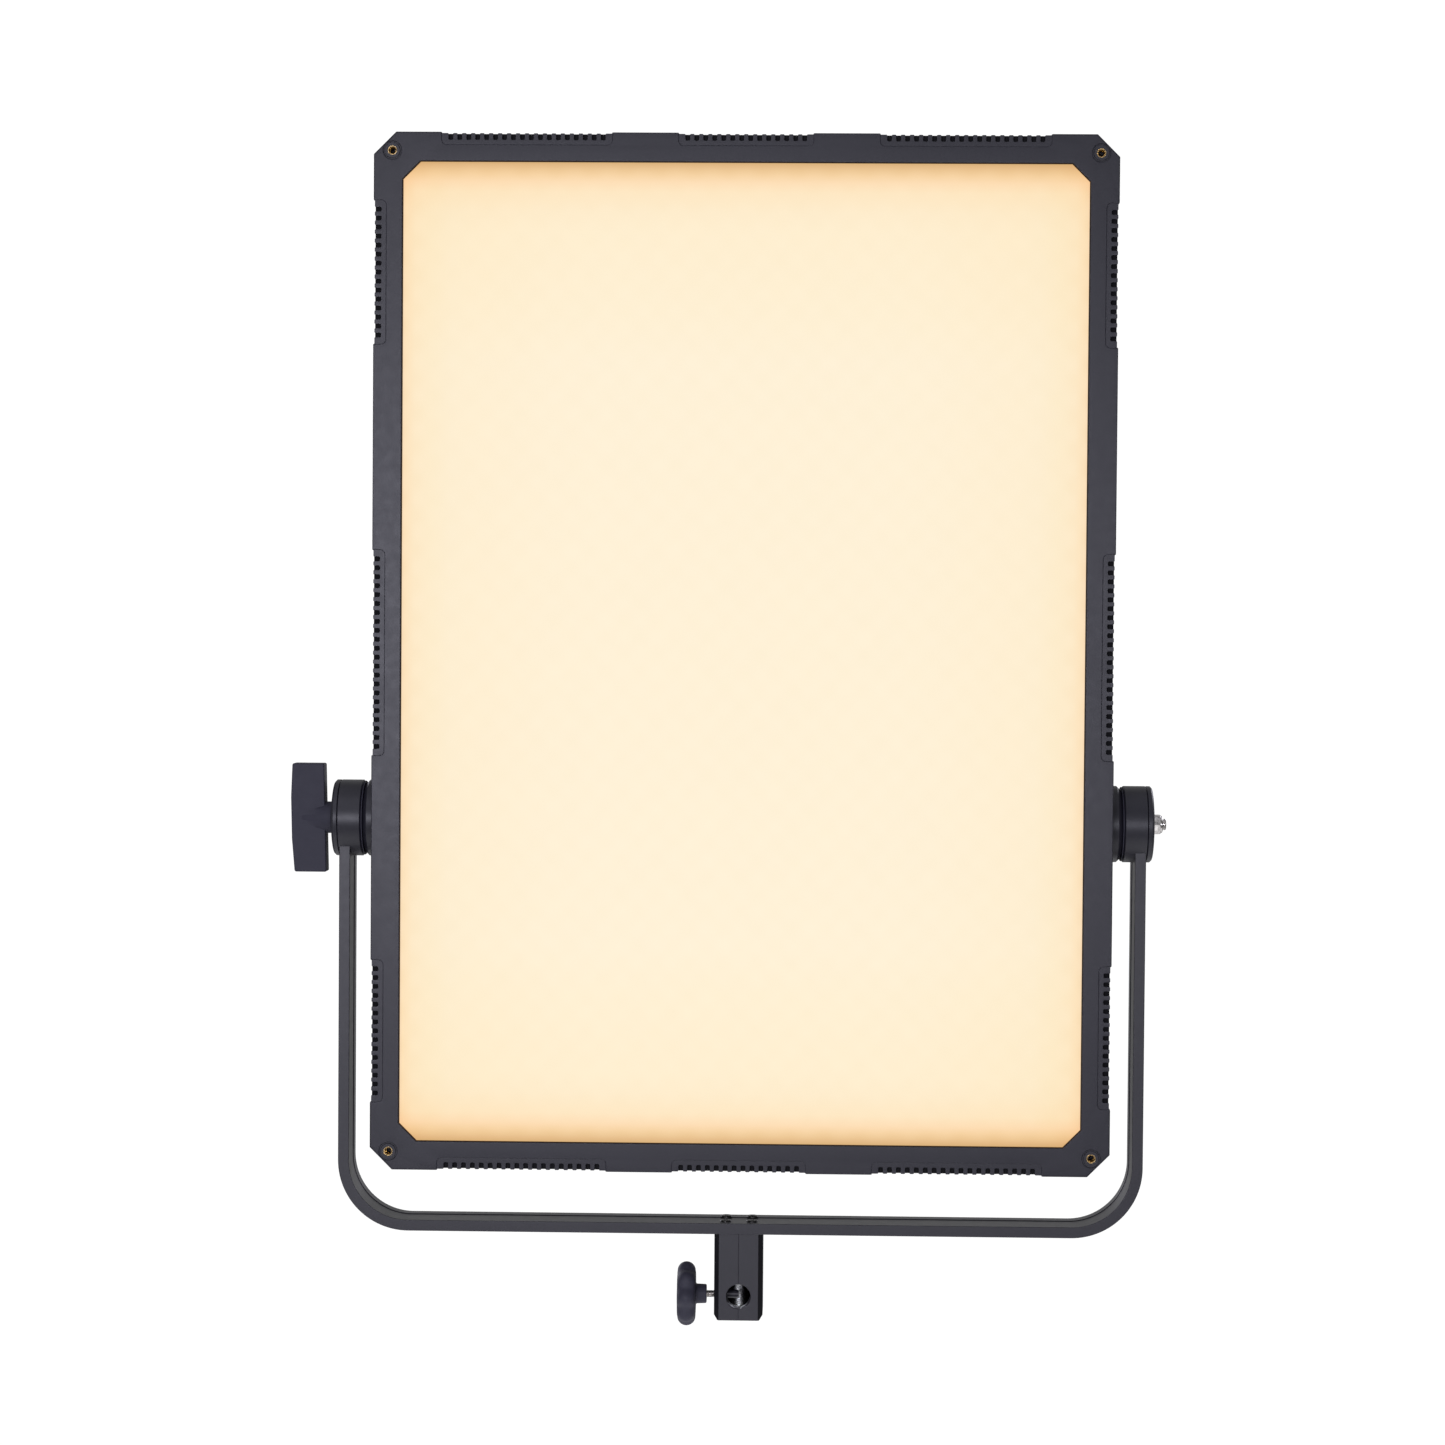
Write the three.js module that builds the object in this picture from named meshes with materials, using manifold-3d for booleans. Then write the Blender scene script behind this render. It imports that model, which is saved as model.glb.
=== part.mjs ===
// LED panel light on a yoke, with a stand socket underneath.
// Millimetres, +Z up. The lit face looks along -Y and +X is to the right of a person looking at it.
// The origin is the centre of the stand socket's mouth, at the bottom of the socket block.
import * as THREE from "three";
import { mergeVertices } from "three/addons/utils/BufferGeometryUtils.js";
import Module from "manifold-3d";

const wasm = await Module();
wasm.setup();

// ---------- driving dimensions ----------
const GAP = 0.3; // left between pieces that touch

// panel
const PANEL_W = 498;
const PANEL_H = 697;
const PANEL_Z = 453.3; // height of the panel's centre
const FRONT_Y = -42; // front face of the bezel
const BEZEL_W = 19.4;
const BEZEL_DEPTH = 14;
const BEZEL_LIP = 2; // lip that holds the diffuser from the front
const CORNER = 15; // outer corner chamfer
const WINDOW_CORNER = 12;
const RABBET = 9.5; // outer wall of the bezel, behind the lip
const RABBET_CORNER = 16;

// cooling slots round the bezel
const SLOT_PITCH = 6;
const SLOT_W = 2.6;
const SLOT_DEPTH = 4.4;
const RECESS_STEP = 0.8; // how far the slotted stretches stand back from the edge
const RECESS_MARGIN = 4.7; // recess past the outermost slots
const TOP_GROUPS = [[-146.5, 18], [0, 14], [146.5, 18]]; // centre along the edge, slots
const SIDE_GROUPS = [[-254.8, 15], [0, 22], [254.8, 15]];

// corner accessory inserts
const INSERT_FROM_EDGE = 12.5;
const INSERT_R = 3.5;
const INSERT_BORE_R = 2.1;
const INSERT_LENGTH = 9;
const BOSS_R = 5.3;
const BOSS_H = 0.5;

// inside the panel
const DIFFUSER_T = 3;
const TRAY_DEPTH = 16; // from the diffuser back to the light board
const BOARD_T = 1.6;
const LED_ROWS = 12;
const SPREADER_T = 2;
const FIN_H = 34;
const FIN_T = 1.6;
const FINS = 17;
const FIN_SPAN = 420;

// housing behind the bezel
const HOUSING_INSET = 1.5;
const HOUSING_WALL = 3;
const HOUSING_REAR_Y = 25;
const HOUSING_FLANGE = 12;
const COVER_T = 2;
const COVER_SLOTS = 13; // in each of its two rows
const COVER_SLOT_PITCH = 24;

// electronics housing on the back
const ELEC_W = 300;
const ELEC_BOTTOM = 180;
const ELEC_TOP = 500;
const ELEC_REAR_Y = 74;
const ELEC_EDGE = 8; // chamfer round the rear face
const ELEC_WALL = 2.5;

// controls on its rear face
const PANEL_CONTROL_Z = 262;
const FASCIA_W = 220;
const FASCIA_H = 64;
const FASCIA_T = 2;
const WINDOW_W = 66;
const WINDOW_H = 34;
const ENCODER_X = 62;
const SHAFT_R = 3;
const SHAFT_OUT = 9; // how far each encoder's shaft stands out of the fascia
const SHAFT_HOLE_R = 3.4;
const ENCODER_KNOB_R = 12;
const ENCODER_KNOB_H = 15;
const BUTTON_X = [-99, -82, 82, 99];
const BUTTON_R = 4.5;
const BUTTON_TRAVEL = 1;

// connectors on its bottom face
const PORT_Y = 47;
const INLET_X = 105;
const SWITCH_X = 58;
const FUSE_X = 28;
const DMX_IN_X = -55;
const DMX_OUT_X = -100;
const ROCKER_TILT = 10; // each face of the rocker leans by this many degrees

// tilt pivots
const PIVOT_Z = 340;
const HUB_R = 26;
const DISC_OUT = 257.2; // distance of each face from the middle of the light
const DISC_EDGE = 2; // chamfer on the disc's outer rim
const RING_OUT = 258.3;
const RING_R = 24.8;
const BARREL_EDGE = 1.2;
const BARREL_OUT = 274.2;
const CAP_OUT = 278.5;
const CAP_EDGE = 1.2;
const HUB_SIDES = 24;
const TILT_BOLT_R = 5;
const PIVOT_BOLT_R = 4;
const NUT_H = 6;
const NUT_COLLAR_H = 1.4; // of the ring that stands on the nut

// yoke: a flat bar bent to a U
const YOKE_HALF = 273.7; // outside of the arms
const BAR_T = 7;
const BAR_W = 36;
const BEND_R = 48; // outside
const CHANNEL_W = 18; // shallow groove along the inner face
const CHANNEL_D = 0.8;
const BAR_Z = 59.5; // underside of the bar

// stand socket
const BLOCK_W = 33.2;
const BLOCK_D = 34;
const BLOCK_CHAMFER = 3.2;
const SPIGOT_R = 8.25; // bore for a 5/8 in (15.9 mm) stand pin
const SPIGOT_DEPTH = 46;
const CROSS_Z = 16.5; // of the sideways bore in the front
const BAR_SCREW = 9; // half spacing of the four screws, each way
const BAR_SCREW_HEAD_R = 4.1;
const BAR_SCREW_HEAD_H = 1.3;

// stand lock knob
const LOCK_Z = 15;
const STAR_R = 22.5;
const STAR_T = 12.4;
const STAR_LOBES = 8;
const STAR_X = -29.6; // inner face of the star
const STAR_HUB_X = -22;
const LOCK_SCREW_R = 2.5;

// tilt knob
const WING_H = 74.2;
const WING_X = 284.8;
const WING_OUT = 308.1;
const WING_T = 14;
const WING_BOW = 1.4; // the outer face bulges by this much
const WING_SLANT = 0.024; // the upper end stands further out than the lower end
const NECK_R = 10.8;
const WASHER_T = 1.2;

// ---------- materials ----------
const paint = new THREE.MeshStandardMaterial({ color: 0x45454d, roughness: 0.6, metalness: 0.2 });
const yokePaint = new THREE.MeshStandardMaterial({ color: 0x403f45, roughness: 0.55, metalness: 0.25 });
const darkPlastic = new THREE.MeshStandardMaterial({ color: 0x2c2b31, roughness: 0.65 });
const rubber = new THREE.MeshStandardMaterial({ color: 0x1c1c1e, roughness: 0.9 });
const diffuser = new THREE.MeshStandardMaterial({
  color: 0xfff0cf,
  roughness: 0.5,
  emissive: 0xffe8c0,
  emissiveIntensity: 1,
});
const white = new THREE.MeshStandardMaterial({ color: 0xf0f0ec, roughness: 0.7 });
const aluminium = new THREE.MeshStandardMaterial({ color: 0xb9bcc0, roughness: 0.4, metalness: 1 });
const steel = new THREE.MeshStandardMaterial({ color: 0xc8c6c4, roughness: 0.3, metalness: 1 });
const brass = new THREE.MeshStandardMaterial({ color: 0xb98f4a, roughness: 0.35, metalness: 1 });
const board = new THREE.MeshStandardMaterial({ color: 0x1f5a38, roughness: 0.6 });
const screen = new THREE.MeshStandardMaterial({ color: 0x101418, roughness: 0.15 });

// ---------- geometry helpers ----------

// A closed three.js geometry as a manifold-3d solid with its faces pointing out.
function solid(geometry) {
  const bare = geometry.clone();
  for (const name of Object.keys(bare.attributes)) {
    if (name !== "position") bare.deleteAttribute(name);
  }
  const merged = mergeVertices(bare, 1e-4);
  const vertProperties = merged.attributes.position.array;
  const triVerts = new Uint32Array(merged.index.array);
  const made = new wasm.Manifold(new wasm.Mesh({ numProp: 3, vertProperties, triVerts }));
  if (made.volume() > 0) return made;
  for (let i = 0; i < triVerts.length; i += 3) {
    [triVerts[i], triVerts[i + 1]] = [triVerts[i + 1], triVerts[i]];
  }
  return new wasm.Manifold(new wasm.Mesh({ numProp: 3, vertProperties, triVerts }));
}

// A manifold-3d solid as a three.js geometry.
function geometryOf(made) {
  const mesh = made.getMesh();
  const geometry = new THREE.BufferGeometry();
  geometry.setAttribute("position", new THREE.BufferAttribute(mesh.vertProperties, 3));
  geometry.setIndex(new THREE.BufferAttribute(mesh.triVerts, 1));
  geometry.computeVertexNormals();
  return geometry;
}

function join(first, ...others) {
  return others.reduce((sum, other) => sum.add(other), first);
}

function cut(first, ...others) {
  return others.reduce((rest, other) => rest.subtract(other), first);
}

function shapeOf(points) {
  return new THREE.Shape(points.map(([a, b]) => new THREE.Vector2(a, b)));
}

// A box from its middle and its sizes.
function block(x, y, z, sx, sy, sz) {
  return solid(new THREE.BoxGeometry(sx, sy, sz).translate(x, y, z));
}

// An outline in (x, z) extruded from y0 to y1.
function slabY(points, y0, y1) {
  const g = new THREE.ExtrudeGeometry(shapeOf(points), { depth: y1 - y0, bevelEnabled: false });
  return solid(g.rotateX(Math.PI / 2).translate(0, y1, 0));
}

// An outline in (x, y) extruded from z0 to z1.
function slabZ(points, z0, z1) {
  const g = new THREE.ExtrudeGeometry(shapeOf(points), { depth: z1 - z0, bevelEnabled: false });
  return solid(g.translate(0, 0, z0));
}

// An outline in (y, z) extruded from x0 to x1.
function slabX(points, x0, x1) {
  const g = new THREE.ExtrudeGeometry(shapeOf(points), { depth: x1 - x0, bevelEnabled: false });
  const turn = new THREE.Matrix4().makeBasis(
    new THREE.Vector3(0, 1, 0),
    new THREE.Vector3(0, 0, 1),
    new THREE.Vector3(1, 0, 0),
  );
  return solid(g.applyMatrix4(turn).translate(x0, 0, 0));
}

// A profile of [radius, distance along the axis] points turned round an axis through (x, y, z).
function turned(profile, axis, [x, y, z], sides) {
  const g = new THREE.LatheGeometry(profile.map(([r, t]) => new THREE.Vector2(r, t)), sides);
  if (axis === "x") g.rotateZ(-Math.PI / 2);
  if (axis === "z") g.rotateX(Math.PI / 2);
  return solid(g.translate(x, y, z));
}

// A plain round bar along an axis, between two distances along it.
function bar(r, from, to, axis, [x, y, z], sides) {
  return turned([[0, from], [r, from], [r, to], [0, to]], axis, [x, y, z], sides);
}

// A ring whose section is the given [radius, distance] loop.
function ring(loop, axis, centre, sides) {
  return turned([...loop, loop[0]], axis, centre, sides);
}

// A rectangle with cut corners, about (cx, cz).
function octagon(w, h, c, cx = 0, cz = 0) {
  const [a, b] = [w / 2, h / 2];
  return [
    [a - c, -b], [a, -b + c], [a, b - c], [a - c, b],
    [-a + c, b], [-a, b - c], [-a, -b + c], [-a + c, -b],
  ].map(([x, z]) => [x + cx, z + cz]);
}

// A rectangle with round corners, about (cx, cz).
function roundedRect(w, h, r, cx = 0, cz = 0, steps = 3) {
  const points = [];
  const corners = [[1, -1, -90], [1, 1, 0], [-1, 1, 90], [-1, -1, 180]];
  for (const [sx, sz, start] of corners) {
    for (let i = 0; i <= steps; i++) {
      const angle = THREE.MathUtils.degToRad(start + (90 * i) / steps);
      points.push([
        cx + sx * (w / 2 - r) + r * Math.cos(angle),
        cz + sz * (h / 2 - r) + r * Math.sin(angle),
      ]);
    }
  }
  return points;
}

// A solid through outlines in (x, z), each at its own y, all with the same number of points.
// Both ends are closed by triangles that meet in the middle of the outline.
function loftY(sections) {
  const n = sections[0][1].length;
  const position = [];
  const index = [];
  for (const [y, points] of sections) {
    for (const [x, z] of points) position.push(x, y, z);
  }
  for (let s = 0; s + 1 < sections.length; s++) {
    for (let i = 0; i < n; i++) {
      const [a, b] = [s * n + i, s * n + ((i + 1) % n)];
      index.push(a, b, b + n, a, b + n, a + n);
    }
  }
  const middle = (points) => [0, 1].map((k) => points.reduce((sum, p) => sum + p[k], 0) / n);
  const ends = [[0, sections[0]], [(sections.length - 1) * n, sections.at(-1)]];
  for (const [first, [y, points]] of ends) {
    const centre = position.length / 3;
    const [x, z] = middle(points);
    position.push(x, y, z);
    for (let i = 0; i < n; i++) {
      const [a, b] = [first + i, first + ((i + 1) % n)];
      index.push(centre, ...(first === 0 ? [b, a] : [a, b]));
    }
  }
  const g = new THREE.BufferGeometry();
  g.setAttribute("position", new THREE.Float32BufferAttribute(position, 3));
  g.setIndex(index);
  return solid(g);
}

// ---------- the panel ----------

// Points of one slotted edge, as [distance along the edge, depth in from the edge].
function slottedEdge(groups) {
  const points = [];
  for (const [centre, slots] of groups) {
    const first = centre - ((slots - 1) * SLOT_PITCH) / 2;
    const reach = ((slots - 1) * SLOT_PITCH + SLOT_W) / 2 + RECESS_MARGIN;
    points.push([centre - reach, 0], [centre - reach, RECESS_STEP]);
    for (let i = 0; i < slots; i++) {
      const [from, to] = [first + i * SLOT_PITCH - SLOT_W / 2, first + i * SLOT_PITCH + SLOT_W / 2];
      points.push([from, RECESS_STEP], [from, SLOT_DEPTH], [to, SLOT_DEPTH], [to, RECESS_STEP]);
    }
    points.push([centre + reach, RECESS_STEP], [centre + reach, 0]);
  }
  return points;
}

// The bezel's outline in (x, z), counter-clockwise from the bottom edge.
function bezelOutline() {
  const [a, b] = [PANEL_W / 2, PANEL_H / 2];
  const along = slottedEdge(TOP_GROUPS);
  const up = slottedEdge(SIDE_GROUPS);
  return [
    [-a + CORNER, -b], ...along.map(([t, d]) => [t, -b + d]), [a - CORNER, -b],
    [a, -b + CORNER], ...up.map(([t, d]) => [a - d, t]), [a, b - CORNER],
    [a - CORNER, b], ...along.map(([t, d]) => [-t, b - d]), [-a + CORNER, b],
    [-a, b - CORNER], ...up.map(([t, d]) => [-a + d, -t]), [-a, -b + CORNER],
  ].map(([x, z]) => [x, z + PANEL_Z]);
}

function insertPlaces() {
  const [a, b] = [PANEL_W / 2 - INSERT_FROM_EDGE, PANEL_H / 2 - INSERT_FROM_EDGE];
  return [
    ["top_left", -a, PANEL_Z + b],
    ["top_right", a, PANEL_Z + b],
    ["bottom_left", -a, PANEL_Z - b],
    ["bottom_right", a, PANEL_Z - b],
  ];
}

function frontBezel() {
  const back = FRONT_Y + BEZEL_DEPTH;
  const windowW = PANEL_W - 2 * BEZEL_W;
  const windowH = PANEL_H - 2 * BEZEL_W;
  let made = slabY(bezelOutline(), FRONT_Y, back);
  made = made.subtract(slabY(octagon(windowW, windowH, WINDOW_CORNER, 0, PANEL_Z), FRONT_Y - 1, back + 1));
  const pocket = octagon(PANEL_W - 2 * RABBET, PANEL_H - 2 * RABBET, RABBET_CORNER, 0, PANEL_Z);
  made = made.subtract(slabY(pocket, FRONT_Y + BEZEL_LIP, back + 1));
  for (const [, x, z] of insertPlaces()) {
    made = made.add(bar(BOSS_R, FRONT_Y - BOSS_H, FRONT_Y + 1, "y", [x, 0, z], 16));
    const bottom = FRONT_Y + INSERT_LENGTH + GAP;
    made = made.subtract(bar(INSERT_R + GAP, FRONT_Y - 1, bottom, "y", [x, 0, z], 12));
  }
  return made;
}

function cornerInsert(x, z) {
  const [from, to] = [FRONT_Y, FRONT_Y + INSERT_LENGTH];
  const wall = [[INSERT_BORE_R, from], [INSERT_R, from], [INSERT_R, to], [INSERT_BORE_R, to]];
  return ring(wall, "y", [x, 0, z], 12);
}

const DIFFUSER_Y = FRONT_Y + BEZEL_LIP + GAP;
const TRAY_Y = DIFFUSER_Y + DIFFUSER_T + GAP;
const BOARD_Y = TRAY_Y + TRAY_DEPTH + GAP;
const SPREADER_Y = BOARD_Y + BOARD_T + GAP;
const HOUSING_Y = FRONT_Y + BEZEL_DEPTH + GAP;
const LEDGE_Y = SPREADER_Y + SPREADER_T + GAP;
const INNER_W = PANEL_W - 2 * (HOUSING_INSET + HOUSING_WALL);
const INNER_H = PANEL_H - 2 * (HOUSING_INSET + HOUSING_WALL);

function diffuserSheet() {
  const inside = 2 * (RABBET + GAP);
  const outline = octagon(PANEL_W - inside, PANEL_H - inside, RABBET_CORNER, 0, PANEL_Z);
  return slabY(outline, DIFFUSER_Y, DIFFUSER_Y + DIFFUSER_T);
}

// White frame with sloping walls that sits between the light board and the diffuser.
function reflectorFrame() {
  const inside = 2 * (RABBET + GAP);
  const outer = slabY(
    octagon(PANEL_W - inside, PANEL_H - inside, RABBET_CORNER, 0, PANEL_Z),
    TRAY_Y,
    TRAY_Y + TRAY_DEPTH,
  );
  const mouth = octagon(PANEL_W - 2 * BEZEL_W + 10, PANEL_H - 2 * BEZEL_W + 10, 14, 0, PANEL_Z);
  const floor = octagon(PANEL_W - 2 * BEZEL_W - 14, PANEL_H - 2 * BEZEL_W - 14, 14, 0, PANEL_Z);
  const light = loftY([[TRAY_Y - 1, mouth], [TRAY_Y + TRAY_DEPTH + 1, floor]]);
  return outer.subtract(light);
}

function ledBoard() {
  const inside = 2 * (RABBET + GAP);
  let made = slabY(
    octagon(PANEL_W - inside, PANEL_H - inside, RABBET_CORNER, 0, PANEL_Z),
    BOARD_Y,
    BOARD_Y + BOARD_T,
  );
  const pitch = (PANEL_H - 2 * BEZEL_W) / (LED_ROWS + 1);
  for (let i = 0; i < LED_ROWS; i++) {
    const z = PANEL_Z + (i - (LED_ROWS - 1) / 2) * pitch;
    made = made.add(block(0, BOARD_Y, z, PANEL_W - 2 * BEZEL_W - 40, 1.6, 5));
  }
  return made;
}

// Aluminium plate with upright fins behind the light board. The plate rests on the housing's ledge.
function heatSpreader() {
  const back = SPREADER_Y + SPREADER_T;
  const plate = slabY(octagon(INNER_W - 2 * GAP, INNER_H - 2 * GAP, CORNER, 0, PANEL_Z), SPREADER_Y, back);
  const half = INNER_H / 2 - HOUSING_FLANGE - 10;
  const comb = [[-FIN_SPAN / 2, back - 1], [FIN_SPAN / 2, back - 1], [FIN_SPAN / 2, back]];
  for (let i = FINS - 1; i >= 0; i--) {
    const x = (i - (FINS - 1) / 2) * (FIN_SPAN / FINS);
    const [left, right] = [x - FIN_T / 2, x + FIN_T / 2];
    comb.push([right, back], [right, back + FIN_H], [left, back + FIN_H], [left, back]);
  }
  comb.push([-FIN_SPAN / 2, back]);
  return join(plate, slabZ(comb, PANEL_Z - half, PANEL_Z + half));
}

function housingFrame() {
  const outer = octagon(PANEL_W - 2 * HOUSING_INSET, PANEL_H - 2 * HOUSING_INSET, CORNER, 0, PANEL_Z);
  const inner = octagon(INNER_W, INNER_H, CORNER, 0, PANEL_Z);
  const ledge = octagon(INNER_W - 2 * HOUSING_FLANGE, INNER_H - 2 * HOUSING_FLANGE, CORNER, 0, PANEL_Z);
  const inside = join(
    slabY(inner, HOUSING_Y - 1, LEDGE_Y),
    slabY(ledge, LEDGE_Y - 1, HOUSING_REAR_Y + 1),
    slabY(inner, LEDGE_Y + HOUSING_WALL, HOUSING_REAR_Y - HOUSING_WALL),
  );
  return cut(
    slabY(outer, HOUSING_Y, HOUSING_REAR_Y),
    inside,
    bar(TILT_BOLT_R + GAP, -PANEL_W / 2, -PANEL_W / 2 + 12, "x", [0, 0, PIVOT_Z], 20),
    bar(PIVOT_BOLT_R + GAP, PANEL_W / 2 - 12, PANEL_W / 2, "x", [0, 0, PIVOT_Z], 20),
    ...coverScrewPlaces().map(([x, z]) => bar(1.8, LEDGE_Y, HOUSING_REAR_Y + 1, "y", [x, 0, z], 12)),
  );
}

function coverScrewPlaces() {
  const [a, b] = [INNER_W / 2 - 6, INNER_H / 2 - 60];
  return [[-a, PANEL_Z + b], [a, PANEL_Z + b], [-a, PANEL_Z - b], [a, PANEL_Z - b]];
}

const COVER_Y = HOUSING_REAR_Y + GAP;

function rearCover() {
  let made = slabY(
    octagon(PANEL_W - 4 * HOUSING_INSET, PANEL_H - 4 * HOUSING_INSET, CORNER, 0, PANEL_Z),
    COVER_Y,
    COVER_Y + COVER_T,
  );
  const above = (PANEL_Z + PANEL_H / 2 + ELEC_TOP) / 2;
  const below = (PANEL_Z - PANEL_H / 2 + ELEC_BOTTOM) / 2;
  for (let i = 0; i < COVER_SLOTS; i++) {
    const x = (i - (COVER_SLOTS - 1) / 2) * COVER_SLOT_PITCH;
    made = cut(made, block(x, COVER_Y, above, 8, 12, 120), block(x, COVER_Y, below, 8, 12, 32));
  }
  for (const [x, z] of coverScrewPlaces()) {
    made = made.subtract(bar(2.3, COVER_Y - 1, COVER_Y + COVER_T + 1, "y", [x, 0, z], 10));
  }
  return made;
}

function coverScrew(x, z) {
  const face = COVER_Y + COVER_T + GAP;
  const top = face + 2.2;
  const shank = bar(1.5, LEDGE_Y + 14, face + 0.5, "y", [x, 0, z], 8);
  const profile = [[0, face], [3.8, face], [3.4, top - 0.6], [2, top], [0, top]];
  const head = turned(profile, "y", [x, 0, z], 12);
  return join(shank, head).subtract(slabY(hexagon(1.25, x, z), face + 0.9, top + 1));
}

function hexagon(inradius, cx, cz) {
  return Array.from({ length: 6 }, (_, i) => {
    const angle = (i * Math.PI) / 3;
    const r = inradius / Math.cos(Math.PI / 6);
    return [cx + r * Math.cos(angle), cz + r * Math.sin(angle)];
  });
}

// ---------- electronics housing, controls and connectors ----------

const ELEC_Y = COVER_Y + COVER_T + GAP;
const ELEC_H = ELEC_TOP - ELEC_BOTTOM;
const ELEC_Z = (ELEC_TOP + ELEC_BOTTOM) / 2;

function electronicsHousing() {
  const full = octagon(ELEC_W, ELEC_H, 10, 0, ELEC_Z);
  const small = octagon(ELEC_W - 2 * ELEC_EDGE, ELEC_H - 2 * ELEC_EDGE, 6, 0, ELEC_Z);
  const thin = 2 * ELEC_WALL;
  const fullIn = octagon(ELEC_W - thin, ELEC_H - thin, 9, 0, ELEC_Z);
  const smallIn = octagon(ELEC_W - thin - 2 * ELEC_EDGE, ELEC_H - thin - 2 * ELEC_EDGE, 5, 0, ELEC_Z);
  const shell = loftY([[ELEC_Y, full], [ELEC_REAR_Y - ELEC_EDGE, full], [ELEC_REAR_Y, small]]).subtract(
    loftY([[ELEC_Y - 1, fullIn], [ELEC_REAR_Y - ELEC_EDGE, fullIn], [ELEC_REAR_Y - ELEC_WALL, smallIn]]),
  );
  const openings = [
    block(0, ELEC_REAR_Y, PANEL_CONTROL_Z, WINDOW_W + 4, 12, WINDOW_H + 4),
    block(INLET_X, PORT_Y, ELEC_BOTTOM, 28, 21, 12),
    block(SWITCH_X, PORT_Y, ELEC_BOTTOM, 24, 18, 12),
    bar(6.3, ELEC_BOTTOM - 5, ELEC_BOTTOM + 5, "z", [FUSE_X, PORT_Y, 0], 20),
    bar(12.6, ELEC_BOTTOM - 5, ELEC_BOTTOM + 5, "z", [DMX_IN_X, PORT_Y, 0], 16),
    bar(12.6, ELEC_BOTTOM - 5, ELEC_BOTTOM + 5, "z", [DMX_OUT_X, PORT_Y, 0], 16),
  ];
  for (const side of [-1, 1]) {
    const shaft = [side * ENCODER_X, 0, PANEL_CONTROL_Z];
    openings.push(bar(SHAFT_HOLE_R, ELEC_REAR_Y - 6, ELEC_REAR_Y + 3, "y", shaft, 12));
    for (let i = 0; i < 6; i++) {
      const z = ELEC_Z + 40 + i * 14;
      openings.push(block(side * (ELEC_W / 2), PORT_Y, z, 12, 24, 5));
    }
  }
  for (const x of BUTTON_X) {
    openings.push(bar(2, ELEC_REAR_Y - 6, ELEC_REAR_Y + 3, "y", [x, 0, PANEL_CONTROL_Z], 12));
  }
  return cut(shell, ...openings);
}

const FASCIA_Y = ELEC_REAR_Y + GAP;
const FASCIA_FRONT = FASCIA_Y + FASCIA_T;

function controlFascia() {
  const holes = [block(0, FASCIA_Y, PANEL_CONTROL_Z, WINDOW_W + 2 * GAP, 12, WINDOW_H + 2 * GAP)];
  for (const side of [-1, 1]) {
    const shaft = [side * ENCODER_X, 0, PANEL_CONTROL_Z];
    holes.push(bar(SHAFT_HOLE_R, FASCIA_Y - 3, FASCIA_Y + 5, "y", shaft, 12));
  }
  for (const x of BUTTON_X) {
    holes.push(bar(BUTTON_R + GAP, FASCIA_Y - 3, FASCIA_Y + 5, "y", [x, 0, PANEL_CONTROL_Z], 14));
  }
  const outline = roundedRect(FASCIA_W, FASCIA_H, 6, 0, PANEL_CONTROL_Z);
  return cut(slabY(outline, FASCIA_Y, FASCIA_FRONT), ...holes);
}

function displayWindow() {
  return block(0, FASCIA_Y + 1, PANEL_CONTROL_Z, WINDOW_W, 1.6, WINDOW_H);
}

function displayModule() {
  const face = FASCIA_Y + 0.2 - GAP;
  return join(
    block(0, face - 3, PANEL_CONTROL_Z, WINDOW_W + 2, 6, WINDOW_H + 2),
    block(0, face - 6.5, PANEL_CONTROL_Z, WINDOW_W + 20, 2, WINDOW_H + 8),
  );
}

const CONTROL_BOARD_Y = ELEC_REAR_Y - 22;

function controlBoard() {
  return join(
    block(0, CONTROL_BOARD_Y, PANEL_CONTROL_Z, 226, 1.6, 56),
    ...BUTTON_X.map((x) => block(x, CONTROL_BOARD_Y + 2.5, PANEL_CONTROL_Z, 8, 5, 8)),
  );
}

function encoder(x) {
  const from = CONTROL_BOARD_Y + 0.8 + GAP;
  return join(
    block(x, from + 4, PANEL_CONTROL_Z, 13, 8, 13),
    bar(SHAFT_R, from + 1, FASCIA_FRONT + SHAFT_OUT, "y", [x, 0, PANEL_CONTROL_Z], 12),
  );
}

// A knob with grip flats, bored for its shaft.
function encoderKnob(x) {
  const from = FASCIA_FRONT + 0.8;
  const ridges = 14;
  const centre = [x, 0, PANEL_CONTROL_Z];
  const outline = [];
  for (let i = 0; i < 2 * ridges; i++) {
    const angle = (i * Math.PI) / ridges;
    const r = i % 2 ? ENCODER_KNOB_R : ENCODER_KNOB_R - 0.8;
    outline.push([x + r * Math.cos(angle), PANEL_CONTROL_Z + r * Math.sin(angle)]);
  }
  const top = from + ENCODER_KNOB_H;
  const grip = slabY(outline, from, top - 1.5);
  const rim = ENCODER_KNOB_R - 1.4;
  const profile = [[0, top - 2], [rim, top - 2], [rim, top - 1], [rim - 1, top], [0, top]];
  const crown = turned(profile, "y", centre, 12);
  const bore = bar(SHAFT_R + GAP, from - 1, FASCIA_FRONT + SHAFT_OUT + GAP, "y", centre, 12);
  return join(grip, crown).subtract(bore);
}

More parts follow.
